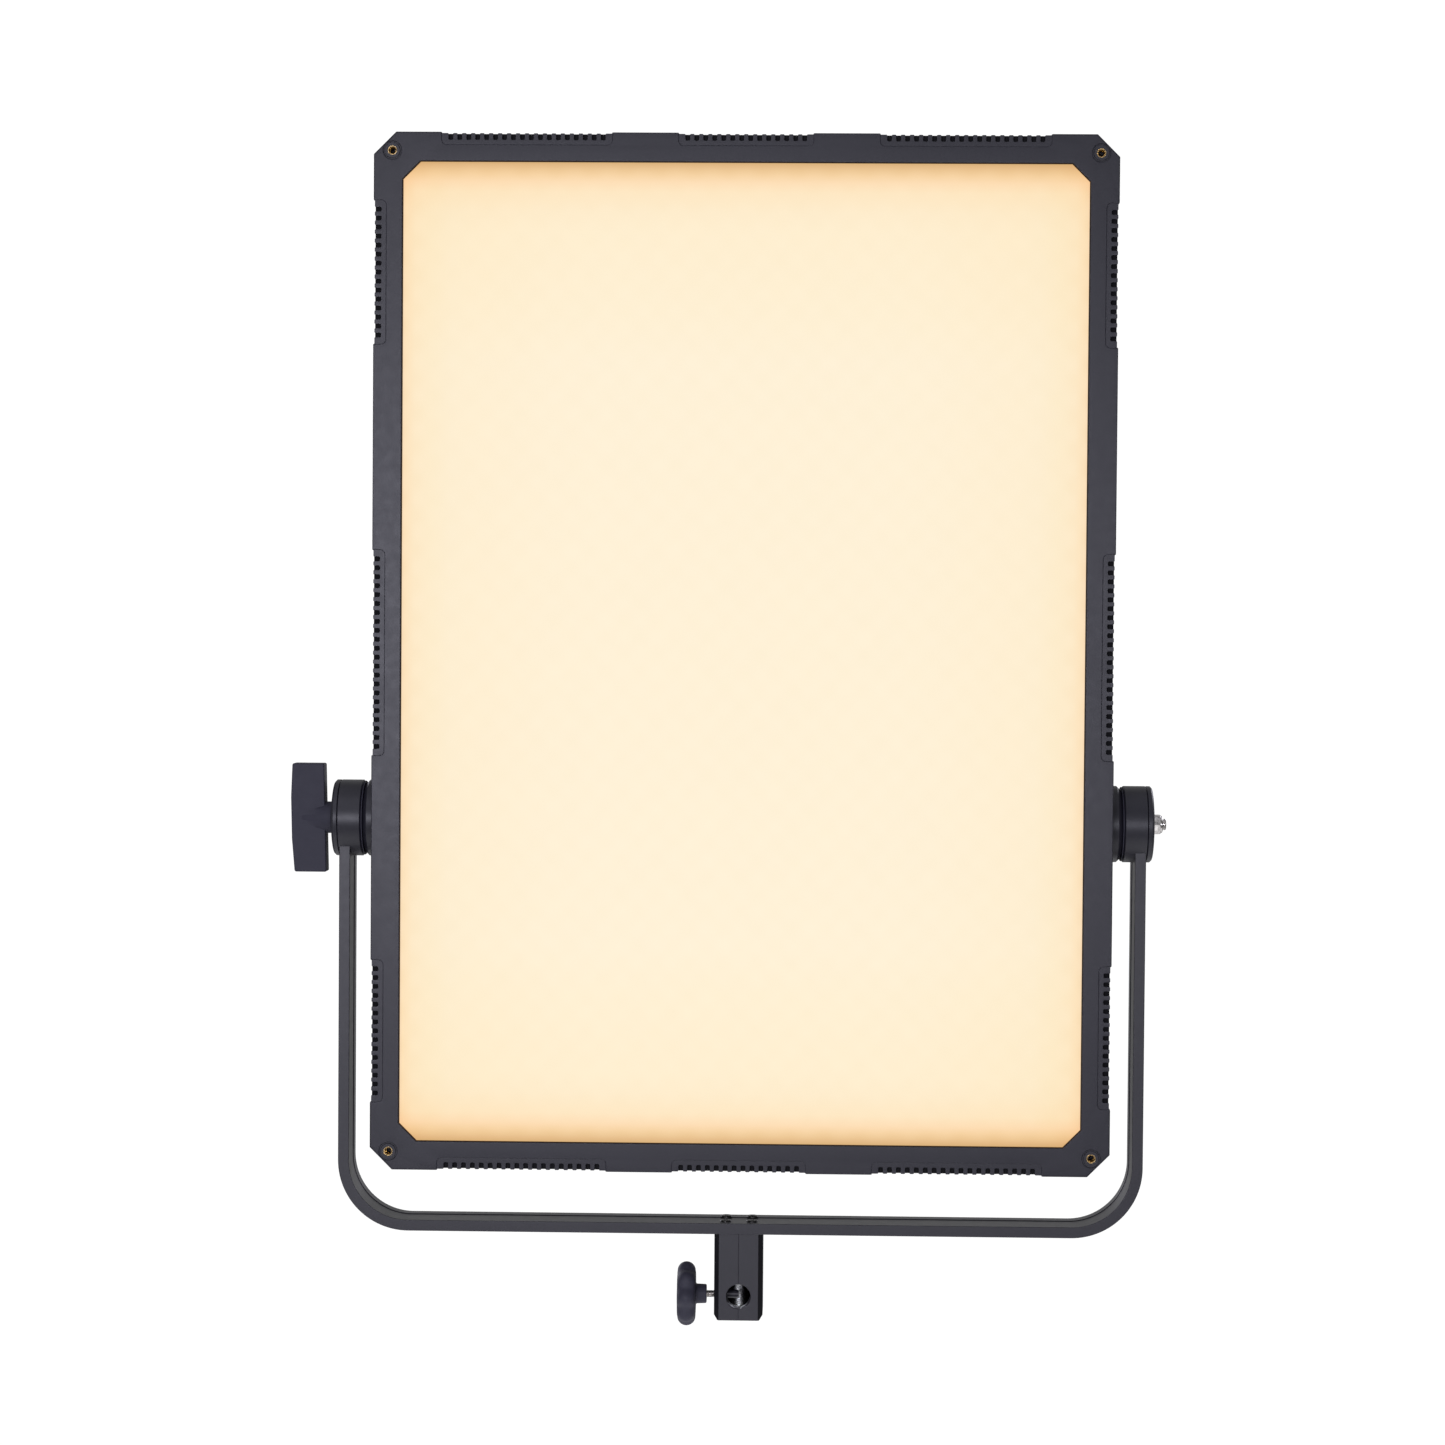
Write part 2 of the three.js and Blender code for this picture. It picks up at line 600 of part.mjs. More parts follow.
function menuButton(x) {
  const top = FASCIA_FRONT + 2.4;
  const back = ELEC_REAR_Y + 2 * GAP + BUTTON_TRAVEL;
  const switchFace = CONTROL_BOARD_Y + 5;
  const profile = [[0, back], [BUTTON_R, back], [BUTTON_R, top - 0.5], [BUTTON_R - 0.8, top], [0, top]];
  const centre = [x, 0, PANEL_CONTROL_Z];
  return join(
    turned(profile, "y", centre, 14),
    bar(1.6, switchFace + GAP + BUTTON_TRAVEL, back + 0.5, "y", centre, 8),
  );
}

function powerSupply() {
  return block(0, ELEC_Y + 20, ELEC_TOP - 80, 220, 32, 110);
}

const FLANGE_Z = ELEC_BOTTOM - GAP;
const ROCKER_Z = FLANGE_Z + 3; // the rocker's pin

// Flanged mains socket with a recess round three recessed blades.
function mainsInlet() {
  const flange = slabZ(octagon(50, 26, 4, INLET_X, PORT_Y), FLANGE_Z - 2.5, FLANGE_Z);
  const body = block(INLET_X, PORT_Y, FLANGE_Z + 10, 27, 20, 24);
  const well = block(INLET_X, PORT_Y, FLANGE_Z, 23.6, 16.4, 32);
  const blades = [[-7, 2], [0, -3], [7, 2]].map(([dx, dy]) =>
    block(INLET_X + dx, PORT_Y + dy, FLANGE_Z + 12.5, 2, 4, 9),
  );
  return join(cut(join(flange, body), well), ...blades);
}

function switchFrame() {
  const flange = slabZ(octagon(31, 24, 3, SWITCH_X, PORT_Y), FLANGE_Z - 2, FLANGE_Z);
  const body = block(SWITCH_X, PORT_Y, FLANGE_Z + 8, 23, 17, 18);
  const well = block(SWITCH_X, PORT_Y, FLANGE_Z + 2, 19.4, 12.6, 22);
  return cut(join(flange, body), well);
}

// Rocker: a round-backed body whose two faces meet at a shallow angle, turning on a pin along Y.
// It rests with one side pressed.
function powerRocker() {
  const centre = [SWITCH_X, 0, ROCKER_Z];
  const reach = 12;
  const face = -4.4; // of each end of the pressed faces, below the pin
  const valley = face + reach * Math.tan(THREE.MathUtils.degToRad(ROCKER_TILT));
  const faces = [[-reach, -20], [reach, -20], [reach, face], [0, valley], [-reach, face]];
  const made = cut(
    bar(9.2, PORT_Y - 5.8, PORT_Y + 5.8, "y", centre, 24),
    slabY(faces.map(([x, z]) => [x + SWITCH_X, z + ROCKER_Z]), PORT_Y - 8, PORT_Y + 8),
    block(SWITCH_X, PORT_Y, ROCKER_Z + 9, 30, 16, 8),
  );
  const tipped = geometryOf(made).translate(-SWITCH_X, 0, -ROCKER_Z);
  return solid(tipped.rotateY(THREE.MathUtils.degToRad(ROCKER_TILT)).translate(SWITCH_X, 0, ROCKER_Z));
}

// Screw-in fuse carrier with a grip and a coin slot.
function fuseHolder() {
  const profile = [
    [0, 14], [6, 14], [6, 0], [8, 0], [8, -2.4],
    [6.6, -3.2], [6.6, -7], [5.8, -7.8], [0, -7.8],
  ];
  const slot = block(FUSE_X, PORT_Y, FLANGE_Z - 7.5, 9, 1.4, 2);
  return turned(profile, "z", [FUSE_X, PORT_Y, FLANGE_Z], 16).subtract(slot);
}

// Round data socket on a square flange.
// The male one is hollow with pins, the female one is full with holes.
function dataSocket(x, male) {
  const flange = slabZ(octagon(30, 26, 3, x, PORT_Y), FLANGE_Z - 2.5, FLANGE_Z);
  const body = bar(12, FLANGE_Z - 1, FLANGE_Z + 22, "z", [x, PORT_Y, 0], 16);
  const well = bar(9.4, FLANGE_Z - 5, FLANGE_Z + 13, "z", [x, PORT_Y, 0], 16);
  const places = Array.from({ length: 5 }, (_, i) => {
    const angle = THREE.MathUtils.degToRad(-30 + i * 60);
    return [x + 4.8 * Math.cos(angle), PORT_Y + 4.8 * Math.sin(angle)];
  });
  if (male) {
    const pins = places.map((at) => bar(0.9, FLANGE_Z + 4, FLANGE_Z + 14, "z", [...at, 0], 6));
    return join(cut(join(flange, body), well), ...pins);
  }
  const plug = bar(8.4, FLANGE_Z - 2, FLANGE_Z + 14, "z", [x, PORT_Y, 0], 16);
  const holes = places.map((at) => bar(1.1, FLANGE_Z - 4, FLANGE_Z + 6, "z", [...at, 0], 6));
  return cut(join(cut(join(flange, body), well), plug), ...holes);
}

// ---------- tilt pivots ----------

// Both hubs are made for +X and mirrored to the left by turning the profile's distances round.
function hubRing(loop, side) {
  return ring(loop.map(([r, t]) => [r, side * t]), "x", [0, 0, PIVOT_Z], HUB_SIDES);
}

function pivotDisc(side, boltR) {
  const inner = PANEL_W / 2 - HOUSING_INSET + GAP;
  const bore = boltR + GAP;
  return hubRing([
    [bore, inner], [HUB_R, inner], [HUB_R, DISC_OUT - DISC_EDGE],
    [HUB_R - DISC_EDGE, DISC_OUT], [bore, DISC_OUT],
  ], side);
}

function frictionRing(side, boltR) {
  const [from, to] = [DISC_OUT + GAP, RING_OUT];
  const bore = boltR + 6;
  return hubRing([[bore, from], [RING_R, from], [RING_R, to], [bore, to]], side);
}

// The end of an arm in (y, z), with room of the given width round it.
function armEnd(room, bottom) {
  const r = BAR_W / 2 + room;
  const points = [[r, bottom]];
  for (let i = 0; i <= 12; i++) {
    const angle = (i * Math.PI) / 12;
    points.push([r * Math.cos(angle), PIVOT_Z + r * Math.sin(angle)]);
  }
  points.push([-r, bottom]);
  return points;
}

function hubBarrel(side, boltR) {
  const from = RING_OUT + GAP;
  const bore = boltR + GAP;
  const body = hubRing([
    [bore, from], [HUB_R - BARREL_EDGE, from], [HUB_R, from + BARREL_EDGE],
    [HUB_R, BARREL_OUT], [bore, BARREL_OUT],
  ], side);
  const pocket = [YOKE_HALF - BAR_T - GAP, BARREL_OUT + 1].map((x) => side * x).sort((a, b) => a - b);
  return body.subtract(slabX(armEnd(GAP, PIVOT_Z - HUB_R - 5), ...pocket));
}

function hubCap(side, boltR) {
  const from = BARREL_OUT + GAP;
  const bore = boltR + GAP;
  return hubRing([
    [bore, from], [HUB_R, from], [HUB_R, CAP_OUT - CAP_EDGE],
    [HUB_R - CAP_EDGE, CAP_OUT], [bore, CAP_OUT],
  ], side);
}

function tiltBolt() {
  const inside = PANEL_W / 2 - HOUSING_INSET - HOUSING_WALL - GAP;
  return join(
    bar(TILT_BOLT_R, -(WING_OUT - 8), -(inside - 2), "x", [0, 0, PIVOT_Z], 20),
    slabX(hexagon(8, 0, PIVOT_Z), -inside, -(inside - 6)),
  );
}

function pivotBolt() {
  const inside = PANEL_W / 2 - HOUSING_INSET - HOUSING_WALL - GAP;
  return join(
    bar(PIVOT_BOLT_R, inside - 2, CAP_OUT + 10, "x", [0, 0, PIVOT_Z], 20),
    slabX(hexagon(6.5, 0, PIVOT_Z), inside - 5.5, inside),
  );
}

function lockNut() {
  const from = CAP_OUT + GAP;
  const to = from + NUT_H;
  const top = to + NUT_COLLAR_H;
  const centre = [0, 0, PIVOT_Z];
  const rounded = [[0, from], [6.9, from], [7.5, from + 0.8], [7.5, to - 0.8], [6.6, to], [0, to]];
  const hex = slabX(hexagon(6.5, 0, PIVOT_Z), from, to).intersect(turned(rounded, "x", centre, 18));
  const collar = turned([[0, to - 1], [6, to - 1], [6, top - 0.8], [5.2, top], [0, top]], "x", centre, 18);
  return join(hex, collar).subtract(bar(PIVOT_BOLT_R + GAP, from - 1, top + 1, "x", centre, 14));
}

// ---------- tilt knob ----------

function tiltWasher() {
  const [from, to] = [CAP_OUT + GAP, CAP_OUT + GAP + WASHER_T];
  const [bore, rim] = [TILT_BOLT_R + GAP, NECK_R + 0.5];
  return ring([[bore, -from], [rim, -from], [rim, -to], [bore, -to]], "x", [0, 0, PIVOT_Z], 18);
}

// A long wing with a bowed outer face on a hub that tapers into it, bored blind for the bolt.
function tiltKnob() {
  const neck = CAP_OUT + 2 * GAP + WASHER_T;
  const h = WING_H / 2;
  const end = WING_OUT - WING_BOW; // outer face at the two ends
  const outline = [
    [-WING_X - 1, -h], [-WING_X, -h + 1], [-WING_X, h - 1], [-WING_X - 1, h],
    [-end + 1.5, h], [-end, h - 1.5], [-WING_OUT, h / 3],
    [-WING_OUT, -h / 3], [-end, -h + 1.5], [-end + 1.5, -h],
  ].map(([x, z]) => [x - WING_SLANT * z, z + PIVOT_Z]);
  const hub = turned([
    [0, -neck], [NECK_R, -neck], [NECK_R, -WING_X - 1],
    [WING_T / 2, -WING_X - 17], [0, -WING_X - 17],
  ], "x", [0, 0, PIVOT_Z], 28);
  return join(slabY(outline, -WING_T / 2, WING_T / 2), hub).subtract(
    bar(TILT_BOLT_R + GAP, -(WING_OUT - 7), -neck + 1, "x", [0, 0, PIVOT_Z], 20),
  );
}

// ---------- yoke and stand socket ----------

// A band of the bent bar in (x, z), between two depths measured inwards from its outside.
function yokeBand(outer, inner, top) {
  const steps = 8;
  const path = (depth) => {
    const points = [];
    const r = BEND_R - depth;
    const [cx, cz] = [YOKE_HALF - BEND_R, BAR_Z + BEND_R];
    points.push([-YOKE_HALF + depth, top]);
    for (let i = 0; i <= steps; i++) {
      const angle = Math.PI + (i * Math.PI) / 2 / steps;
      points.push([-cx + r * Math.cos(angle), cz + r * Math.sin(angle)]);
    }
    for (let i = 0; i <= steps; i++) {
      const angle = (3 * Math.PI) / 2 + (i * Math.PI) / 2 / steps;
      points.push([cx + r * Math.cos(angle), cz + r * Math.sin(angle)]);
    }
    points.push([YOKE_HALF - depth, top]);
    return points;
  };
  return [...path(outer), ...path(inner).reverse()];
}

function barScrewPlaces() {
  const b = BAR_SCREW;
  return [[-b, -b], [b, -b], [-b, b], [b, b]];
}

function yoke() {
  const tall = PIVOT_Z + BAR_W / 2 + 2;
  const bent = slabY(yokeBand(0, BAR_T, tall), -BAR_W / 2, BAR_W / 2);
  const groove = yokeBand(BAR_T - CHANNEL_D, BAR_T + 1, PIVOT_Z - 30);
  const channel = slabY(groove, -CHANNEL_W / 2, CHANNEL_W / 2);
  const ends = slabX(armEnd(0, BAR_Z - 10), -YOKE_HALF - 1, YOKE_HALF + 1);
  return cut(
    bent.intersect(ends),
    channel,
    bar(TILT_BOLT_R + 2 * GAP, -YOKE_HALF - 1, -YOKE_HALF + BAR_T + 1, "x", [0, 0, PIVOT_Z], 20),
    bar(PIVOT_BOLT_R + 2 * GAP, YOKE_HALF - BAR_T - 1, YOKE_HALF + 1, "x", [0, 0, PIVOT_Z], 20),
    ...barScrewPlaces().map(([x, y]) => bar(2.7, BAR_Z - 1, BAR_Z + BAR_T + 1, "z", [x, y, 0], 14)),
  );
}

function barScrew(x, y) {
  const seat = BAR_Z + BAR_T + GAP;
  const top = seat + BAR_SCREW_HEAD_H;
  const r = BAR_SCREW_HEAD_R;
  const shank = bar(2.2, BAR_Z - 9, seat + 0.5, "z", [x, y, 0], 10);
  const head = turned([[0, seat], [r, seat], [r, top - 0.6], [r - 0.7, top], [0, top]], "z", [x, y, 0], 14);
  return join(shank, head).subtract(slabZ(hexagon(1.5, x, y), top - 2, top + 1));
}

function socketBlock() {
  const top = BAR_Z - GAP;
  const outline = octagon(BLOCK_W, BLOCK_D, BLOCK_CHAMFER);
  const half = BLOCK_W / 2;
  const lead = 3.6; // height of the slope at the bottom of each side
  const wedge = (side) => {
    const points = [[half + 1, -1], [half - 2.4, -1], [half - 2.4, 0], [half, lead], [half + 1, lead]];
    return slabY(points.map(([x, z]) => [side * x, z]), -BLOCK_D, BLOCK_D);
  };
  const bore = [
    [0, -1], [SPIGOT_R + 1.4, -1], [SPIGOT_R, 1.2],
    [SPIGOT_R, SPIGOT_DEPTH - 2], [SPIGOT_R - 3, SPIGOT_DEPTH], [0, SPIGOT_DEPTH],
  ];
  return cut(
    slabZ(outline, 0, top),
    wedge(-1),
    wedge(1),
    turned(bore, "z", [0, 0, 0], 24),
    bar(SPIGOT_R, -BLOCK_D, 0, "y", [0, 0, CROSS_Z], 24),
    bar(LOCK_SCREW_R + GAP, -BLOCK_W, 0, "x", [0, 0, LOCK_Z], 16),
    ...barScrewPlaces().map(([x, y]) => bar(2.5, top - 10, top + 1, "z", [x, y, 0], 12)),
  );
}

// ---------- stand lock ----------

function starOutline(grow) {
  const points = [];
  const steps = 6 * STAR_LOBES;
  for (let i = 0; i < steps; i++) {
    const angle = (2 * Math.PI * i) / steps;
    const wave = Math.pow(Math.abs(Math.sin((STAR_LOBES * angle) / 2)), 2.5);
    const r = STAR_R - 2.4 * wave + grow;
    points.push([r * Math.cos(angle), r * Math.sin(angle)]);
  }
  return points;
}

// Lofted along its own axis, then turned to lie along X.
function starKnob() {
  const centre = [0, 0, LOCK_Z];
  const levels = [
    [0, -6.5], [1.2, -2.6], [4, -0.5],
    [STAR_T - 4, -0.5], [STAR_T - 1.2, -2.6], [STAR_T, -6.5],
  ];
  const star = loftY(levels.map(([t, grow]) => [t, starOutline(grow)]));
  const laid = solid(geometryOf(star).rotateZ(Math.PI / 2).translate(STAR_X, 0, LOCK_Z));
  const hub = turned([
    [0, STAR_X - 1], [6.6, STAR_X - 1], [6.4, STAR_HUB_X - 0.8], [5.8, STAR_HUB_X], [0, STAR_HUB_X],
  ], "x", centre, 24);
  const bore = bar(LOCK_SCREW_R + GAP, STAR_X - SCREW_HOLD, STAR_HUB_X + 1, "x", centre, 16);
  return join(laid, hub).subtract(bore);
}

const SCREW_HOLD = 8; // depth of the screw in the knob
const PAD_BACK = -8.4;
const PAD_TIP = -5.8;
const PAD_R = 2.3;

function lockScrew() {
  return bar(LOCK_SCREW_R, STAR_X - SCREW_HOLD + GAP, PAD_BACK - GAP, "x", [0, 0, LOCK_Z], 16);
}

function pressurePad() {
  const profile = [
    [0, PAD_BACK], [PAD_R, PAD_BACK], [PAD_R, PAD_TIP - 0.6], [PAD_R - 0.6, PAD_TIP], [0, PAD_TIP],
  ];
  return turned(profile, "x", [0, 0, LOCK_Z], 16);
}

// ---------- the assembly ----------

function node(name, made, material) {
  const mesh = new THREE.Mesh(geometryOf(made), material);
  mesh.name = name;
  return mesh;
}

const light = new THREE.Group();
light.name = "led_panel_light";
const head = new THREE.Group();
const stand = new THREE.Group();
light.add(head, stand);

head.add(
  node("front_bezel", frontBezel(), paint),
  node("diffuser_sheet", diffuserSheet(), diffuser),
  node("reflector_frame", reflectorFrame(), white),
  node("led_board", ledBoard(), white),
  node("heat_spreader", heatSpreader(), aluminium),
  node("housing_frame", housingFrame(), paint),
  node("rear_cover", rearCover(), paint),
  node("electronics_housing", electronicsHousing(), paint),
  node("power_supply", powerSupply(), aluminium),
  node("control_board", controlBoard(), board),
  node("control_fascia", controlFascia(), darkPlastic),
  node("display_window", displayWindow(), screen),
  node("display_module", displayModule(), board),
  node("dimmer_encoder", encoder(-ENCODER_X), steel),
  node("colour_encoder", encoder(ENCODER_X), steel),
  node("dimmer_knob", encoderKnob(-ENCODER_X), darkPlastic),
  node("colour_knob", encoderKnob(ENCODER_X), darkPlastic),
  node("mains_inlet", mainsInlet(), darkPlastic),
  node("power_switch_frame", switchFrame(), darkPlastic),
  node("power_rocker", powerRocker(), darkPlastic),
  node("fuse_holder", fuseHolder(), darkPlastic),
  node("dmx_in_socket", dataSocket(DMX_IN_X, true), steel),
  node("dmx_out_socket", dataSocket(DMX_OUT_X, false), steel),
  node("left_pivot_disc", pivotDisc(-1, TILT_BOLT_R), darkPlastic),
  node("right_pivot_disc", pivotDisc(1, PIVOT_BOLT_R), darkPlastic),
  node("tilt_bolt", tiltBolt(), steel),
  node("pivot_bolt", pivotBolt(), steel),
  node("pivot_lock_nut", lockNut(), steel),
);
BUTTON_X.forEach((x, i) => head.add(node("menu_button_" + (i + 1), menuButton(x), rubber)));
for (const [place, x, z] of insertPlaces()) {
  head.add(node("corner_insert_" + place, cornerInsert(x, z), brass));
}
coverScrewPlaces().forEach(([x, z], i) => {
  head.add(node("cover_screw_" + (i + 1), coverScrew(x, z), steel));
});

stand.add(
  node("yoke", yoke(), yokePaint),
  node("left_friction_ring", frictionRing(-1, TILT_BOLT_R), rubber),
  node("right_friction_ring", frictionRing(1, PIVOT_BOLT_R), rubber),
  node("left_hub_barrel", hubBarrel(-1, TILT_BOLT_R), darkPlastic),
  node("right_hub_barrel", hubBarrel(1, PIVOT_BOLT_R), darkPlastic),
  node("left_hub_cap", hubCap(-1, TILT_BOLT_R), darkPlastic),
  node("right_hub_cap", hubCap(1, PIVOT_BOLT_R), darkPlastic),
  node("tilt_washer", tiltWasher(), steel),
  node("tilt_knob", tiltKnob(), darkPlastic),
  node("socket_block", socketBlock(), yokePaint),
  node("stand_lock_knob", starKnob(), darkPlastic),
  node("stand_lock_screw", lockScrew(), steel),
  node("stand_lock_pad", pressurePad(), brass),
);
barScrewPlaces().forEach(([x, y], i) => {
  stand.add(node("bar_screw_" + (i + 1), barScrew(x, y), steel));
});

export default light;
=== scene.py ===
"""Looks of an LED panel light on a yoke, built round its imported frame."""

import math

import bmesh
import bpy
from bpy.props import FloatProperty, FloatVectorProperty, IntProperty, PointerProperty
from mathutils import Euler, Matrix, Vector
from mathutils.geometry import delaunay_2d_cdt


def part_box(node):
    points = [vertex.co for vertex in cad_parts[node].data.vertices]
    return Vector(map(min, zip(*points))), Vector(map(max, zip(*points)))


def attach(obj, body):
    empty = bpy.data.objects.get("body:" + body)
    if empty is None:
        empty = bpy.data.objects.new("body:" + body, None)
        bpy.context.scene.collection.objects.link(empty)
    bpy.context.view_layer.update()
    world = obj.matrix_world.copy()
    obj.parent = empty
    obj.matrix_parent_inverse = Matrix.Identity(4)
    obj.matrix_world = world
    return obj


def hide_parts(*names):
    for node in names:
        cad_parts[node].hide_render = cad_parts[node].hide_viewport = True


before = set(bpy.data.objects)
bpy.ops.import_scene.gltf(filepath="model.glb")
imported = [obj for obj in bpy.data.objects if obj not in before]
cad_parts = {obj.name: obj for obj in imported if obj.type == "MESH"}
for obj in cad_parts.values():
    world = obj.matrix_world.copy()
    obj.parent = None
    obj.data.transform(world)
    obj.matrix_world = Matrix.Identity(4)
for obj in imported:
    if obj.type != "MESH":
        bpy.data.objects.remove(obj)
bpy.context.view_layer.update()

bl_info = {
    "name": "LED panel light",
    "version": (1, 0, 0),
    "blender": (4, 5, 0),
    "location": "3D View > Sidebar > Panel light",
    "description": "Builds the finished pieces of an LED panel light round its frame",
    "category": "Add Mesh",
}

MM = 0.001


def span(node):
    """Lowest and highest corner of a frame node, in millimetres."""
    low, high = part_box(node)
    return [v / MM for v in low], [v / MM for v in high]


def middle(node):
    """Centre of a frame node, in millimetres."""
    return [(a + b) / 2 for a, b in zip(*span(node))]


def outward(node):
    """How far a hub piece starts and ends from the middle of the light."""
    low, high = span(node)
    return sorted((abs(low[0]), abs(high[0])))


PANEL_LOW, PANEL_HIGH = span("front_bezel")
HALF_W = PANEL_HIGH[0]
HALF_H = (PANEL_HIGH[2] - PANEL_LOW[2]) / 2
PANEL_Z = middle("front_bezel")[2]
BOSS_Y = PANEL_LOW[1]
BEZEL_BACK = PANEL_HIGH[1]
PIVOT_Z = middle("right_hub_cap")[2]
HUB_R = span("right_hub_cap")[1][2] - PIVOT_Z
LOCK_Z = middle("stand_lock_knob")[2]

CROSS_Z = 16.5
SLOT_PITCH = 6.0
SLOT_MARGIN = 4.4
SLOT_GROUPS_ACROSS = ((-146.5, 18), (0.0, 14), (146.5, 18))
SLOT_GROUPS_UP = ((-254.8, 15), (0.0, 22), (254.8, 15))
CORNER_CUT = 15.0
WINDOW_CUT = 12.0
BEZEL_WIDTH = 19.4
SHADED_BACKING_DEPTH = 4.0
GLOW_FADE = 0.134
LOUVRES = 13
LOUVRE_PITCH = 24.0
SCALE_RADIUS = 16.5
BORE_RADIUS = 8.25
WHITE_ROOM = 1.05
COOL_WHITE = (0.875, 0.87, 1.0)
AIM = (0, 0, 0.4)
CAMERA_PLACE = (0.041, -2.299, 0.4745)
CAMERA_TURN = (1.37, 1.68, 0.42)


# ---------- settings ----------


def length(name, default, text):
    return FloatProperty(name=name, description=text, default=default, unit="LENGTH")


def amount(name, default, text, unit="NONE"):
    return FloatProperty(name=name, description=text, default=default, min=0.0, unit=unit)


def count(name, default, text):
    return IntProperty(name=name, description=text, default=default, min=3)


def tint(name, default, text):
    return FloatVectorProperty(name=name, description=text, default=default, subtype="COLOR")


class LampSizes(bpy.types.PropertyGroup):
    """Sizes that shape the small detail of the light."""

    edge_round: length("Edge rounding", 0.0006, "Radius along the front edges of the bezel")
    slot_width: length("Slot width", 0.0031, "Width of each cooling slot in the bezel")
    slot_depth: length("Slot depth", 0.0053, "How far the cooling slots reach in from the edge")
    fin_round: length("Fin rounding", 0.00055, "Radius of the fin tips between the slots")
    recess_depth: length("Recess depth", 0.0005, "How far the bezel's face is sunk round the slots")
    recess_reach: length("Recess reach", 0.0083, "How far the sunk face reaches in from the edge")
    channel_depth: length("Channel depth", 0.0005, "Depth of the channel along the inside of the yoke")
    star_lobes: count("Star lobes", 8, "Lobes of the stand lock knob")
    round_steps: count("Round steps", 96, "Sides of the turned hubs")


class LampColours(bpy.types.PropertyGroup):
    """Colours of the finishes."""

    panel_paint: tint("Panel paint", (0.021, 0.0202, 0.030), "Matt powder coat on the bezel and housing")
    yoke_paint: tint("Yoke paint", (0.024, 0.0232, 0.031), "Matt coat on the yoke and socket block")
    plastic: tint("Moulded plastic", (0.0168, 0.0164, 0.0255), "Knobs and hubs")
    rubber: tint("Rubber", (0.010, 0.010, 0.011), "Menu buttons")
    steel: tint("Plated steel", (0.62, 0.60, 0.58), "Nut, stud, shanks and washers")
    aluminium: tint("Bare aluminium", (0.72, 0.73, 0.74), "Machined bore, fins and cases")
    brass: tint("Brass", (0.60, 0.45, 0.23), "Threaded corner inserts")
    copper: tint("Bronze", (0.72, 0.38, 0.24), "Pressure pad of the stand lock")


class LampGlow(bpy.types.PropertyGroup):
    """How the lit sheet glows."""

    centre: tint("Glow colour", (0.93, 0.815, 0.612), "Colour in the middle of the lit sheet")
    strength: amount("Glow strength", 1.0, "Brightness of the lit sheet")
    lamp_pitch: length("Lamp pitch", 0.0115, "Distance between neighbouring lamps behind the sheet")
    ripple: amount("Ripple", 0.010, "How strongly the single lamps show through the sheet")


class LampStage(bpy.types.PropertyGroup):
    """Floor, lights and camera."""

    floor_height: length("Floor height", -0.4, "Height of the floor under the stand socket")
    floor_radius: length("Floor radius", 0.9, "Size of the round pale floor")
    lens: amount("Lens", 83.95, "Focal length on a sensor 36 mm wide")
    sky: amount("Room light", 0.25, "Strength of the even light from all round")
    backdrop: amount("Backdrop light", 0.45, "Strength of the light from straight behind")
    key: amount("Key light", 26.5, "Power of the light in front", unit="POWER")


# ---------- outlines ----------


def fillet(points, radius, steps=4):
    """A closed outline with each corner rounded; radius is one number or one for each corner."""
    count = len(points)
    radii = radius if isinstance(radius, (list, tuple)) else [radius] * count
    made = []
    for i, r in enumerate(radii):
        here = Vector(points[i])
        back = Vector(points[i - 1]) - here
        ahead = Vector(points[(i + 1) % count]) - here
        if r <= 0 or back.length < 1e-6 or ahead.length < 1e-6:
            made.append(tuple(here))
            continue
        half = back.angle(ahead) / 2
        if half > math.radians(89) or half < math.radians(5):
            made.append(tuple(here))
            continue
        reach = min(r / math.tan(half), 0.49 * back.length, 0.49 * ahead.length)
        r = reach * math.tan(half)
        centre = here + (back.normalized() + ahead.normalized()).normalized() * (r / math.sin(half))
        start = here + back.normalized() * reach - centre
        end = here + ahead.normalized() * reach - centre
        sweep = start.angle_signed(end)
        for k in range(steps + 1):
            a = -sweep * k / steps
            made.append((
                centre.x + start.x * math.cos(a) - start.y * math.sin(a),
                centre.y + start.x * math.sin(a) + start.y * math.cos(a),
            ))
    return made


def inset(points, depth):
    """The outline moved to its left by depth, which is inwards when it runs counter-clockwise."""
    if abs(depth) < 1e-9:
        return list(points)
    count = len(points)
    made = []
    for i in range(count):
        here = Vector(points[i])
        before = (here - Vector(points[i - 1])).normalized()
        after = (Vector(points[(i + 1) % count]) - here).normalized()
        n0 = Vector((-before.y, before.x))
        n1 = Vector((-after.y, after.x))
        move = (n0 + n1) / max(1 + n0.dot(n1), 0.4)
        made.append(tuple(here + move * depth))
    return made


def octagon(half_w, half_h, cut, cx=0.0, cz=0.0):
    corners = [
        (half_w - cut, -half_h), (half_w, -half_h + cut), (half_w, half_h - cut), (half_w - cut, half_h),
        (-half_w + cut, half_h), (-half_w, half_h - cut), (-half_w, -half_h + cut), (-half_w + cut, -half_h),
    ]
    return [(x + cx, z + cz) for x, z in corners]


def circle(radius, cx=0.0, cz=0.0, steps=32):
    turn = 2 * math.pi / steps
    return [(cx + radius * math.cos(i * turn), cz + radius * math.sin(i * turn)) for i in range(steps)]


def oblong(half_w, half_h, radius, cx=0.0, cz=0.0, steps=5):
    corners = [(half_w, -half_h), (half_w, half_h), (-half_w, half_h), (-half_w, -half_h)]
    return fillet([(x + cx, z + cz) for x, z in corners], radius, steps)


